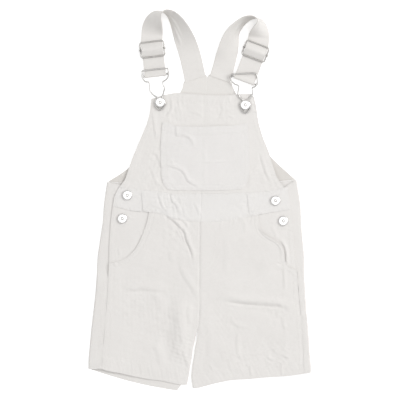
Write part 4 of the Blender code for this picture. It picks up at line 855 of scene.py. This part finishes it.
def back_leg_grid(table, sag, rows=150):
    """Half of the back: flat on the table, a half circle up round the side, and its edge lying on the front."""
    table = smooth(table, count=rows)
    inner, outer, edge = table[:, 0:2], table[:, 2:4], table[:, 4:7]
    across = outer - inner
    across /= np.linalg.norm(across, axis=1)[:, None]
    radius = (edge[:, 2] - FLAT) / 2
    crest = outer - across * (radius + FLAT)[:, None]
    edge[:, :2] -= across * SIDE_GAP * np.clip((edge[:, 2:] - 3) / 1.4, 0, 1)
    inner = inner + across * SEAM_PULL
    t = np.linspace(0, 1, FLAT_STEPS + 1)[:-1, None, None]
    flat = inner[None] + (crest - inner)[None] * t
    down = np.clip((np.arange(len(table)) - len(table) + 14) / 13, 0, 1) ** 2
    flat[..., 1] -= sag * np.sin(np.pi * t[..., 0]) * down[None]
    flat[:, 0, 1] += SEAM_LAP
    flat = np.concatenate([flat, np.full(flat.shape[:2] + (1,), FLAT)], axis=-1)
    angle = np.radians(np.linspace(0, 180, BEND_STEPS + 1))[:, None]
    bend = crest[None] + across[None] * (radius[None] * np.sin(angle))[..., None]
    bend = np.concatenate([bend, (FLAT + radius[None] * (1 - np.cos(angle)))[..., None]], axis=-1)
    t = np.linspace(0, 1, OVER_STEPS + 1)[1:, None, None]
    over = np.column_stack([crest, edge[:, 2]])[None] * (1 - t) + edge[None] * t
    return np.concatenate([flat, bend, over]).transpose(1, 0, 2)


def run_uv(grid):
    """Cut coordinates in metres: lengths run along the grid's two directions."""
    across = np.linalg.norm(np.diff(grid, axis=1), axis=-1)
    across = np.concatenate([np.zeros((len(grid), 1)), np.cumsum(across, axis=1)], axis=1)
    down = np.linalg.norm(np.diff(grid, axis=0), axis=-1).mean(axis=1)
    down = np.concatenate([[0], -np.cumsum(down)])[:, None] * np.ones_like(across)
    return np.stack([across, down], axis=-1) * MM


back_left = back_leg_grid(BACK_LEG_L, BACK_HEM_SAG_L)
back_right = back_leg_grid(BACK_LEG_R, BACK_HEM_SAG_R)
for grid, seed in ((back_left, 1.0), (back_right, 2.0)):
    grid[..., 2] += crease_height(grid[..., 0], grid[..., 1], BACK_CREASES) * (grid[..., 2] > 2.5)
    finish_edge(grid, "right", rows=(1.8, 6.5), groove=0.15, pucker=0.12, seed=seed, reach=7)
cloth("back_leg_left", back_left, CLOTH, BACK, run_uv(back_left), under=0.0)
cloth("back_leg_right", back_right, CLOTH, BACK, run_uv(back_right), under=0.0)

SNUG, CENTRE_PULL = 0.02, 0.1  # mm, how far a closed seam and the legs' centre seam are drawn in
# Cells of each panel's grid.
BACK_ACROSS, BACK_ROWS = 60, 110
HIP_ACROSS, HIP_ROWS = 54, 70
ACROSS, SCOOP_SHARE, LOW_SHARE = 110, 66, 66
BAND_ACROSS, BAND_TIP, BAND_ROWS = 104, 5, 34
BIB_ACROSS, BIB_ROWS = 78, 104
POCKET_ACROSS, POCKET_ROWS = 96, 76
for name, top, foot, left, right in (
    ("back_bib_left", BACK_TOP_L, BACK_FOOT_L,
     smooth(BACK_SIDE_L, count=BACK_ROWS), even(BACK_CENTRE_L, count=BACK_ROWS)),
    ("back_bib_right", BACK_TOP_R, BACK_FOOT_R,
     even(BACK_CENTRE_R, count=BACK_ROWS), smooth(BACK_SIDE_R, count=BACK_ROWS)),
):
    plan = patch(even(top, count=BACK_ACROSS), even(foot, count=BACK_ACROSS), left, right)
    grid = at_height(pulled_in(plan, (SNUG,) * 4), FLAT)
    grid[..., 2] += 0.12 * (1 + soft_waves(grid[..., 0], grid[..., 1], 60, 1.0))
    cloth(name, grid, CLOTH, INSIDE, under=0.0)

hip_left = pulled_in(patch(
    smooth(HIP_TOP_L, count=HIP_ACROSS), smooth(HIP_FOOT_L, count=HIP_ACROSS),
    smooth(HIP_OUTER_L, count=HIP_ROWS), smooth(HIP_INNER_L, count=HIP_ROWS)))
hip_right = pulled_in(patch(
    smooth(HIP_TOP_R, count=HIP_ACROSS), smooth(HIP_FOOT_R, count=HIP_ACROSS),
    smooth(HIP_INNER_R, count=HIP_ROWS), smooth(HIP_OUTER_R, count=HIP_ROWS)))
for grid, edge, seed in ((hip_left, "left", 3.0), (hip_right, "right", 4.0)):
    grid[..., 2] += crease_height(grid[..., 0], grid[..., 1], HIP_CREASES)
    grid[..., 2] += 0.1 * soft_waves(grid[..., 0], grid[..., 1], 40, seed)
    finish_edge(grid, edge, rows=(2.0, 8.0), groove=0.15, rise=0.15, band=8.5, pucker=0.1, seed=seed)
cloth("hip_piece_left", hip_left, CLOTH, FRONT)
cloth("hip_piece_right", hip_right, CLOTH, FRONT)

leg_left = pulled_in(patch(
    smooth(LEG_TOP_L, count=ACROSS), smooth(HEM_L, count=ACROSS),
    joined(smooth(SCOOP_L, count=SCOOP_SHARE), smooth(SIDE_L, count=2 * LOW_SHARE)),
    joined(smooth(CENTRE_UPPER, count=SCOOP_SHARE), smooth(CENTRE_LOWER, count=LOW_SHARE),
           smooth(INSEAM_L, count=LOW_SHARE))), (SNUG, SNUG, SNUG, CENTRE_PULL))
leg_right = pulled_in(patch(
    smooth(LEG_TOP_R, count=ACROSS), smooth(HEM_R, count=ACROSS),
    joined(smooth(CENTRE_UPPER, count=SCOOP_SHARE), smooth(CENTRE_LOWER, count=LOW_SHARE),
           smooth(INSEAM_R, count=LOW_SHARE)),
    joined(smooth(SCOOP_R, count=SCOOP_SHARE), smooth(SIDE_R, count=2 * LOW_SHARE))),
    (SNUG, SNUG, CENTRE_PULL, SNUG))
HEM_DEPTH = 20.0
for grid, centre, side, seed in ((leg_left, "right", "left", 5.0), (leg_right, "left", "right", 6.0)):
    x, y = grid[..., 0].copy(), grid[..., 1].copy()
    grid[..., 2] += crease_height(x, y, LOWER_CREASES) + 0.3 * soft_waves(x, y, 70, seed)
    grid[..., 2] += 0.12 * soft_waves(x, y, 24, seed) + crumple(x, y, CRUMPLED)
    finish_edge(grid, centre, rows=(), rise=-0.55, band=1.4, pucker=0.1, seed=seed, reach=6)
    finish_edge(grid, side, rows=(1.8, 7.5), groove=0.22, pucker=0.16, seed=seed + 1)
    finish_edge(grid, "foot", rows=(HEM_DEPTH - 1.5,), groove=0.25, rise=0.3, band=HEM_DEPTH, pucker=0.28,
                seed=seed + 2, reach=HEM_DEPTH)
    finish_edge(grid, "top", rows=(), rise=-0.15, band=1.2, pucker=0.2, seed=seed + 3, reach=8)
cloth("front_leg_left", leg_left, CLOTH, FRONT)
cloth("front_leg_right", leg_right, CLOTH, FRONT)

band_left = pulled_in(patch(
    smooth(WAIST_TOP_L, count=BAND_ACROSS + 4), smooth(BAND_FOOT_L, count=BAND_ACROSS + 4),
    smooth(BAND_LEFT, count=BAND_ROWS), smooth(BAND_CENTRE, count=BAND_ROWS)), (SNUG,) * 4)
band_right = pulled_in(patch(
    joined(smooth(WAIST_TOP_R, count=BAND_ACROSS), smooth(BAND_TOP_R_END, count=BAND_TIP)),
    smooth(BAND_FOOT_R, count=BAND_ACROSS + BAND_TIP),
    smooth(BAND_CENTRE, count=BAND_ROWS), smooth(BAND_RIGHT, count=BAND_ROWS)), (SNUG,) * 4)
for grid, centre, outer, seed in ((band_left, "right", "left", 7.0), (band_right, "left", "right", 8.0)):
    x, y = grid[..., 0].copy(), grid[..., 1].copy()
    grid[..., 2] += (crease_height(x, y, LOWER_CREASES) + 0.12 * soft_waves(x, y, 50, seed)
                     + crumple(x, y, CRUMPLED))
    for edge in ("top", "foot"):
        finish_edge(grid, edge, rows=(1.8,), groove=0.2, rise=-0.1, band=0.8, pucker=0.24, seed=seed, reach=8)
    finish_edge(grid, centre, rows=(), rise=-0.2, band=1.0, seed=seed)
    finish_edge(grid, outer, rows=(2.0,), groove=0.2, pucker=0.1, seed=seed, reach=5)

bib_left = pulled_in(patch(
    smooth(BIB_TOP_L, count=BIB_ACROSS), smooth(WAIST_TOP_L, count=BIB_ACROSS),
    smooth(BIB_LEFT, count=BIB_ROWS), smooth(BIB_CENTRE, count=BIB_ROWS)), (SNUG,) * 4)
bib_right = pulled_in(patch(
    smooth(BIB_TOP_R, count=BIB_ACROSS), smooth(WAIST_TOP_R, count=BIB_ACROSS),
    smooth(BIB_CENTRE, count=BIB_ROWS), smooth(BIB_RIGHT, count=BIB_ROWS)), (SNUG,) * 4)
for grid, centre, side, seed in ((bib_left, "right", "left", 9.0), (bib_right, "left", "right", 10.0)):
    x, y = grid[..., 0].copy(), grid[..., 1].copy()
    grid[..., 2] += crease_height(x, y, BIB_CREASES) + 0.2 * soft_waves(x, y, 55, seed)
    grid[..., 2] += 0.1 * soft_waves(x, y, 21, seed) + crumple(x, y, CRUMPLED)
    finish_edge(grid, centre, rows=(2.2,), groove=0.25, rise=-0.12, band=1.0, pucker=0.06, seed=seed)
    finish_edge(grid, side, rows=(2.0, 8.0), groove=0.2, rise=0.2, band=8.6, pucker=0.14, seed=seed)
    finish_edge(grid, "top", rows=(2.0, 12.0), groove=0.2, rise=0.25, band=12.6, pucker=0.16, seed=seed)
cloth("bib_left", bib_left, CLOTH, FRONT)
cloth("bib_right", bib_right, CLOTH, FRONT)

pocket_plan = patch(
    smooth(POCKET_TOP, count=POCKET_ACROSS), smooth(POCKET_FOOT, count=POCKET_ACROSS),
    smooth(POCKET_LEFT, count=POCKET_ROWS), smooth(POCKET_RIGHT, count=POCKET_ROWS))
px, py = pocket_plan[..., 0], pocket_plan[..., 1]
centre_x = np.interp(py, *np.array(BIB_CENTRE)[::-1, 1::-1].T)
under = np.where(px < centre_x, height_on(bib_left, np.minimum(px, centre_x - 1), py),
                 height_on(bib_right, np.maximum(px, centre_x + 1), py))
for _ in range(6):
    under[1:-1, 1:-1] = (under[1:-1, 1:-1] * 2 + under[:-2, 1:-1] + under[2:, 1:-1] + under[1:-1, :-2]
                         + under[1:-1, 2:]) / 6
pocket = np.concatenate([pocket_plan, (under + POCKET_LIFT)[..., None]], axis=-1)
pocket[..., 2] += crease_height(px, py, POCKET_CREASES) + 0.12 * soft_waves(px, py, 45, 11.0)
opening = GAPE * np.exp(-((pocket[0, :, 1][None] - py) / GAPE_DEPTH))
pocket[..., 2] += opening * np.exp(-(((px - GAPE_MIDDLE) / GAPE_HALF_WIDTH) ** 2))
for edge in ("left", "right", "foot"):
    finish_edge(pocket, edge, rows=(1.8, 7.5), groove=0.18, pucker=0.12, seed=11.0)
finish_edge(pocket, "top", rows=(12.0,), groove=0.2, rise=0.2, band=12.6, pucker=0.1, seed=12.0)
cloth("bib_pocket", pocket, CLOTH, POCKET_TWILL)

LOOP_CLOTH, LOOP_LIFT = 0.7, 0.42  # mm, a pressed strip close on its band
# A belt loop is a narrow strip sewn on the waistband, so it is made here with the band.
for band_name, loop_name, band, cut, back in (
    ("waistband_left", "belt_loop_left", band_left, (132, 44), BACK_LAYERS[:1]),
    ("waistband_right", "belt_loop_right", band_right, (133, 44), BACK_LAYERS[1:2]),
):
    top, foot, width = BELT_LOOPS[loop_name]
    down = np.linspace(0, 1, 32)[:, None]
    middle = np.array(top) * (1 - down) + np.array(foot) * down
    plan = np.stack([middle + (shift * width, 0) for shift in np.linspace(-0.5, 0.5, 9)], axis=1)
    height = height_on(band, plan[..., 0], plan[..., 1]) + BAND / 2 + LOOP_LIFT
    grid = np.concatenate([plan, height[..., None]], axis=-1)
    grid[..., 2] += 0.2 * np.sin(np.pi * down)
    strip = shell_mesh(loop_name + "_cloth", grid, LOOP_CLOTH, WAIST)
    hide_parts(loop_name)
    cloth(band_name, band, BAND, WAIST)


# Straps.
def on_circle(centre, radius, degrees):
    """Points (along, height) round a bar seen from its end."""
    turn = np.radians(degrees)
    return [(centre[0] + radius * np.cos(a), centre[1] + radius * np.sin(a)) for a in turn]


SEWN_GAP, SEWN_RUN = 0.04, 10  # mm, between a strap's sewn end and the back's top edge, and its rise to it
STRAP_FLAT = STRAP / 2  # middle of a strap layer that lies on the table
WIRE_GAP, LAYER_GAP = 0.2, 0.3  # between a wire and its strap, and between two layers of strap
EDGE_PUFF = 0.4  # how far a band that stands on its edge is lifted
STITCHED_END = 3.0  # length of the sewn end above the slide's bar
LEAVING_HEIGHT, LEAVING_RUN = 1.9, 16  # the strap comes off the slide this high and is down after this run
LOOP_SECTIONS, FINE_STEPS = 31, 400
STRAP_STEP, STRAP_ACROSS = 1.6, 26  # a strap's cells: their length, and how many lie across it


def strap_rows(turn, loop, end_direction, bar, slide, lift):
    """Middle line and width vector of the band, from its sewn end on the slide's bar, down and round the
    clasp's crossbar, up under the slide's rails and over its bar, then over the shoulder to the back's top
    edge. In side each row is (distance from the crossbar, height)."""
    bar, slide = np.array(bar, float), np.array(slide, float)
    length = np.linalg.norm(slide - bar)
    axis = (slide - bar) / length
    wrap = WIRE + WIRE_GAP + STRAP / 2
    outer_wrap = wrap + STRAP + LAYER_GAP
    rail = SLIDE_SIZE[1] / 2 - WIRE
    middle_bar, low_rail, high_rail = [(length + shift, SLIDE_HEIGHT) for shift in (0, -rail, rail)]
    side = [(length - STITCHED_END, 3.45)]
    side += on_circle(middle_bar, wrap, [150, 120, 90, 60, 30, 0, -30, -60, -90])
    side += [(length - STITCHED_END, 2.05), (length - 7, 1.0), (length - 11, STRAP_FLAT),
             (length / 2, STRAP_FLAT), (5, STRAP_FLAT)]
    side += on_circle((0, CROSSBAR_HEIGHT), CROSSBAR_HEIGHT - STRAP_FLAT,
                      [-90, -120, -150, -180, -210, -240, -270])
    side += [(2.2, 4.05), (4.5, 3.1), (8, 2.4), (14, 2.3), (length - rail - 4, 2.3)]
    side += on_circle(low_rail, wrap, [-90, -60, -35])
    side += on_circle(middle_bar, outer_wrap, [120, 90, 60])
    side += on_circle(high_rail, wrap, [-145, -120, -90])
    straight_run = np.array([(*(bar + axis * s), z + lift) for s, z in side])
    straight_width = np.tile([axis[1] * turn, -axis[0] * turn, 0], (len(side), 1))

    dense = smooth([[*(slide + axis * rail), 0], *loop], count=FINE_STEPS)
    spots = np.linspace(0.03, 1, LOOP_SECTIONS)
    line = np.stack([np.interp(spots, np.linspace(0, 1, FINE_STEPS + 1), column) for column in dense.T], axis=1)
    travelled = spots * np.linalg.norm(np.diff(dense[:, :2], axis=0), axis=1).sum()
    along = np.gradient(line[:, :2], axis=0)
    along /= np.linalg.norm(along, axis=1)[:, None]
    roll = np.radians(line[:, 2])
    flat_share = turn * np.cos(roll)
    loop_width = np.stack([along[:, 1] * flat_share, -along[:, 0] * flat_share, np.sin(roll)], axis=1)
    end = np.array(end_direction) / np.linalg.norm(end_direction)
    loop_width[-1, :2] = end * np.sign(end @ loop_width[-1, :2])
    standing = (STRAP_WIDTH / 2 * np.sin(roll) + STRAP / 2 * np.abs(np.cos(roll))
                + EDGE_PUFF * np.sqrt(np.abs(np.sin(roll))))
    leaving = STRAP / 2 + (LEAVING_HEIGHT + lift) * np.clip(1 - travelled / LEAVING_RUN, 0, 1)
    sewn = (CLOTH + SEWN_GAP) * np.clip(1 - (travelled[-1] - travelled) / SEWN_RUN, 0, 1)
    loop_run = np.column_stack([line[:, :2], np.maximum(standing, leaving) + sewn])
    return np.vstack([straight_run, loop_run]), np.vstack([straight_width, loop_width]), len(side)


def strap_grid(rows, pleats):
    """The band as a grid: rows between those given on cubic curves, and grooves, puckers and pleats on the free
    part. A pleat is a bell across the band that rises and fades along it: start, finish, place across, height
    and half-width."""
    centre, width, held = rows
    index = np.arange(len(centre))
    gap = np.concatenate([[0], np.cumsum(np.linalg.norm(np.diff(centre, axis=0), axis=1))])
    fine = np.unique(np.concatenate([gap, np.arange(0, gap[-1], STRAP_STEP)]))
    fine = fine[np.concatenate([[True], np.diff(fine) > 0.3])]
    both = np.concatenate([centre, width], axis=1)
    spot = np.interp(fine, gap, index)
    low = np.clip(spot.astype(int), 0, len(centre) - 2)
    t = (spot - low)[:, None]
    before, after = np.clip(low - 1, 0, None), np.clip(low + 2, None, len(centre) - 1)
    span = (gap[low + 1] - gap[low])[:, None]
    slope_a = (both[low + 1] - both[before]) / np.maximum(gap[low + 1] - gap[before], 1e-6)[:, None]
    slope_b = (both[after] - both[low]) / np.maximum(gap[after] - gap[low], 1e-6)[:, None]
    curve = ((2 * t**3 - 3 * t**2 + 1) * both[low] + (t**3 - 2 * t**2 + t) * span * slope_a
             + (3 * t**2 - 2 * t**3) * both[low + 1] + (t**3 - t**2) * span * slope_b)
    flat_width = curve[:, 3:] / np.linalg.norm(curve[:, 3:], axis=1)[:, None]
    across = np.linspace(-STRAP_WIDTH / 2, STRAP_WIDTH / 2, STRAP_ACROSS + 1)
    grid = curve[:, None, :3] + across[None, :, None] * flat_width[:, None]
    free = np.clip((fine - gap[held] - 4) / 14, 0, 1)[:, None]
    inset = STRAP_WIDTH / 2 - np.abs(across)[None]
    relief = -0.14 * np.exp(-(((inset - 2.2) / 0.9) ** 2)) + 0.12 * np.exp(-(((inset - 5) / 5) ** 2)) * puckers(
        fine[:, None], inset, 1.3)
    for start, finish, place, height, half in pleats:
        s = np.clip((fine - gap[held] - start) / (finish - start), 0, 1)
        relief = relief + height * np.sin(np.pi * s)[:, None] * np.exp(-(((across[None] - place) / half) ** 2))
    ending = np.clip((gap[-1] - fine) / 6, 0.2, 1)[:, None]
    grid = grid + normals_of(grid) * (relief * free * ending)[..., None]
    uv = np.stack(np.broadcast_arrays(across[None] * MM, fine[:, None] * MM), axis=-1)
    return grid, uv, gap[-1], held


strap_threads = []
for name, turn, loop, end, bar, slide, lift, pleats in (
    ("strap_left", 1, LOOP_L, END_DIRECTION_L, BAR_L, SLIDE_L, LIFT_L,
     [(44, 112, -8, 2.0, 2.0), (40, 100, -3.5, 1.6, 1.8), (50, 90, -12, -1.1, 1.8), (8, 40, 4, 0.8, 3.0)]),
    ("strap_right", -1, LOOP_R, END_DIRECTION_R, BAR_R, SLIDE_R, LIFT_R,
     [(46, 100, -7, 1.2, 2.4), (50, 90, -1, -0.8, 2.4), (14, 44, 5, 0.7, 3.0)]),
):
    grid, uv, length, held = strap_grid(strap_rows(turn, loop, end, bar, slide, lift), pleats)
    back = name.replace("strap", "back_bib") + "_cloth"
    cloth(name, grid, STRAP, STRAP_TWILL, uv, under=0.0)
    face = normals_of(grid)
    for column in (1, -2):
        for sign in (1, -1):
            strap_threads.append((grid[:, column], STRAP / 2, face[:, column] * sign))


# Hardware.
def slide_outline(bar, slide, lift, corner=3.2, steps=8):
    """A rectangle with quarter circles at its corners, laid in line with the strap."""
    bar, slide = np.array(bar, float), np.array(slide, float)
    axis = (slide - bar) / np.linalg.norm(slide - bar)
    sideways = np.array([axis[1], -axis[0]])
    half_width, half_height = SLIDE_SIZE[0] / 2 - WIRE, SLIDE_SIZE[1] / 2 - WIRE
    turn = np.radians(np.linspace(0, 90, steps))
    outline = []
    for sx, sy, start in ((1, 1, 0), (-1, 1, 90), (-1, -1, 180), (1, -1, 270)):
        a = turn + np.radians(start)
        outline += list(zip(sx * (half_width - corner) + corner * np.cos(a),
                            sy * (half_height - corner) + corner * np.sin(a)))
    outline = even(np.array(outline + outline[:1]), spacing=1.2)[:-1]
    placed = slide + sideways * outline[:, :1] + axis * outline[:, 1:]
    ends = np.array([-half_width - 0.43, half_width + 0.43])
    return (np.column_stack([placed, np.full(len(placed), SLIDE_HEIGHT + lift)]),
            [np.array([*(slide + sideways * u), SLIDE_HEIGHT + lift]) for u in ends])


def bump(centre, radius, first):
    """A ball: rings of radius times the sine at heights of radius times the cosine."""
    a = np.linspace(0, np.pi, 13)
    profile = np.column_stack([radius * np.sin(a), centre[2] + radius * np.cos(a)])
    return turned_solid(profile, centre[:2], sides=20, first=first)


def wire_piece(name, outline, ends, bump_lift, look):
    bar_line = even(np.array(ends), count=20)
    points, faces = gathered([
        lambda first: tube(outline, WIRE, 14, True, first),
        lambda first: tube(bar_line, BAR_WIRE, 14, False, first),
        *[lambda first, end=end: bump(end + [0, 0, bump_lift], BUMP, first) for end in ends],
    ])
    piece = make_mesh(name + "_wire", points, faces, look)
    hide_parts(name)


def around(outline, spacing=0.9):
    """The smooth closed curve through the outline's points."""
    rows = np.array(outline, float)
    curve = smooth(np.vstack([rows[-2:], rows, rows[:2]]), count=3 * FINE_STEPS)
    late = 2 * FINE_STEPS
    start = np.argmin(np.linalg.norm(curve[:FINE_STEPS] - rows[0], axis=1))
    finish = late + np.argmin(np.linalg.norm(curve[late:] - rows[0], axis=1))
    return even(curve[start:finish], spacing=spacing)[:-1]


for side, bar, slide, lift, outline in (
    ("left", BAR_L, SLIDE_L, LIFT_L, CLASP_L),
    ("right", BAR_R, SLIDE_R, LIFT_R, CLASP_R),
):
    frame_path, ends = slide_outline(bar, slide, lift)
    wire_piece("slide_" + side, frame_path, ends, 0.1, NICKEL)
    b, s = np.array(bar, float), np.array(slide, float)
    axis = (s - b) / np.linalg.norm(s - b)
    sideways = np.array([axis[1], -axis[0]])
    ends = [np.array([*(b + sideways * u), CROSSBAR_HEIGHT + lift]) for u in (-CROSSBAR_HALF, CROSSBAR_HALF)]
    wire_piece("clasp_" + side, around(outline), ends, 1.0, CLASP_NICKEL_PAINTED_LIGHT)


# Buttons: a low dome with a small grooved dot and a rolled rim.
# Each row is (radius, height over the cap's foot).
BUTTON_FACE = [(0, 2.06), (0.9, 2.02), (1.15, 1.9), (1.4, 1.72), (1.75, 1.7), (2.1, 1.92), (2.5, 2.05),
               (3.6, 2.09), (4.8, 2.05), (5.9, 1.9), (6.7, 1.6), (7.2, 1.25), (7.45, 0.85), (7.4, 0.45),
               (7.1, 0.15), (6.4, 0.0)]
CAP_HEIGHT, BUTTON_SIDES = 2.1, 56
GROOVE_RINGS = (2, 3, 4)  # rings of faces that lie in the groove, given the darker metal as painted shade
for name, (x, y) in BUTTONS.items():
    low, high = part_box(name)
    cap, base = high[2] / MM - CAP_HEIGHT, low[2] / MM
    profile = [(r, cap + h) for r, h in BUTTON_FACE] + [(3.2, cap), (3.0, cap - 0.05), (3.0, base), (0, base)]
    points, faces = turned_solid(profile, (x, y), sides=BUTTON_SIDES)
    piece = make_mesh(name + "_dish", points, faces, BUTTON_METAL)
    piece.data.materials.append(BUTTON_GROOVE_SHADE)
    index = np.zeros(len(piece.data.polygons), np.int32)
    for ring in GROOVE_RINGS:
        index[ring * BUTTON_SIDES:(ring + 1) * BUTTON_SIDES] = 1
    piece.data.polygons.foreach_set("material_index", index)
    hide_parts(name)

# Topstitching.
FLY = [(29.6, -34), (29.4, -62), (27.5, -84), (20.5, -100), (8, -109), (0.5, -111)]


def rows_of(grid, thickness, *edges):
    return [(line_beside(grid, edge, distance), thickness / 2, None) for edge, distance in edges]


def fly_row(inset):
    path = smooth(FLY, spacing=2.0)
    along = np.gradient(path, axis=0)
    along /= np.linalg.norm(along, axis=1)[:, None]
    path = path + np.column_stack([along[:, 1], -along[:, 0]]) * inset
    path = path[path[:, 0] > 1]
    return (np.column_stack([path, height_on(leg_right, path[:, 0], path[:, 1])]), CLOTH / 2, None)


stitching("bib_topstitching",
          rows_of(bib_left, CLOTH, ("left", 2.0), ("left", 8.0), ("top", 2.0), ("top", 12.0), ("right", 2.2))
          + rows_of(bib_right, CLOTH, ("right", 2.0), ("right", 8.0), ("top", 2.0), ("top", 12.0),
                    ("left", 2.2)),
          THREAD_LOOK)
stitching("pocket_topstitching",
          rows_of(pocket, CLOTH, ("left", 1.8), ("left", 7.5), ("right", 1.8), ("right", 7.5), ("foot", 1.8),
                  ("top", 12.0)), THREAD_LOOK)
stitching("waistband_topstitching",
          rows_of(band_left, BAND, ("top", 1.8), ("foot", 1.8), ("left", 2.0))
          + rows_of(band_right, BAND, ("top", 1.8), ("foot", 1.8), ("right", 2.0)), THREAD_LOOK)
stitching("leg_topstitching",
          rows_of(leg_left, CLOTH, ("left", 1.8), ("left", 7.5), ("foot", HEM_DEPTH - 1.5), ("right", 2.0))
          + rows_of(leg_right, CLOTH, ("right", 1.8), ("right", 7.5), ("foot", HEM_DEPTH - 1.5), ("left", 2.0))
          + [fly_row(0), fly_row(6)], THREAD_LOOK)
stitching("hip_topstitching",
          rows_of(hip_left, CLOTH, ("left", 2.0), ("left", 8.0))
          + rows_of(hip_right, CLOTH, ("right", 2.0), ("right", 8.0)), THREAD_LOOK)
stitching("back_edge_topstitching",
          rows_of(back_left, CLOTH, ("right", 1.8), ("right", 6.5))
          + rows_of(back_right, CLOTH, ("right", 1.8), ("right", 6.5)), THREAD_LOOK)
stitching("strap_topstitching", strap_threads, THREAD_LOOK)

# Floor, light and camera.
floor_mesh = bpy.data.meshes.new("table_top")
reach, drop = 2.5, 0.0003
corners = [(x * reach, y * reach, -drop) for x, y in ((-1, -1), (1, -1), (1, 1), (-1, 1))]
floor_mesh.from_pydata(corners, [], [(0, 1, 2, 3)])
floor_look, floor_tree, floor_shader = new_material("white_table")
floor_shader.inputs["Base Color"].default_value = (0.96, 0.96, 0.96, 1)
floor_shader.inputs["Roughness"].default_value = 0.9
floor_shader.inputs["Specular IOR Level"].default_value = 0.1
floor_shader.inputs["Emission Color"].default_value = (1, 1, 1, 1)
floor_shader.inputs["Emission Strength"].default_value = 0.3
floor_mesh.materials.append(floor_look)
floor = bpy.data.objects.new("table_top", floor_mesh)
bpy.context.scene.collection.objects.link(floor)


def soft_light(name, place, size, power):
    lamp = bpy.data.lights.new(name, "AREA")
    lamp.shape, lamp.size, lamp.energy = "SQUARE", size, power
    made = bpy.data.objects.new(name, lamp)
    made.location = place
    level = np.hypot(place[0], place[1])
    made.rotation_euler = (0, np.arctan2(level, place[2]), np.arctan2(place[1], place[0]))
    bpy.context.scene.collection.objects.link(made)


soft_light("window", (2.4, 0.9, 2.1), 1.5, 40)

world = bpy.data.worlds.new("studio")
world.use_nodes = True
bpy.context.scene.world = world
tree = world.node_tree
background = next(n for n in tree.nodes if n.type == "BACKGROUND")
direction, split, level = node(tree, "TexCoord"), node(tree, "SeparateXYZ"), node(tree, "MapRange")
tree.links.new(direction.outputs["Generated"], split.inputs[0])
tree.links.new(split.outputs["Z"], level.inputs["Value"])
level.inputs["From Min"].default_value, level.inputs["From Max"].default_value = 0.0, 0.8
level.inputs["To Min"].default_value, level.inputs["To Max"].default_value = 0.28, 0.82
overhead = node(tree, "MapRange", interpolation_type="SMOOTHSTEP")
tree.links.new(split.outputs["Z"], overhead.inputs["Value"])
overhead.inputs["From Min"].default_value, overhead.inputs["From Max"].default_value = 0.9, 0.97
overhead.inputs["To Min"].default_value, overhead.inputs["To Max"].default_value = 0.0, 1.1
tree.links.new(math_node(tree, "ADD", level.outputs[0], overhead.outputs[0]), background.inputs["Strength"])
background.inputs["Color"].default_value = (1, 1, 1, 1)

PHOTO_SIDE, CAMERA_HEIGHT, SENSOR = 0.592, 5.0, 36.0
camera_data = bpy.data.cameras.new("above")
camera_data.sensor_width = SENSOR
camera_data.lens = SENSOR * CAMERA_HEIGHT / PHOTO_SIDE
camera_data.clip_end = 20
camera = bpy.data.objects.new("above", camera_data)
camera.location = (0.0002, 0.00068, CAMERA_HEIGHT)
bpy.context.scene.collection.objects.link(camera)
bpy.context.scene.camera = camera
bpy.context.scene.view_settings.view_transform = "Standard"
bpy.context.scene.view_settings.look = "None"
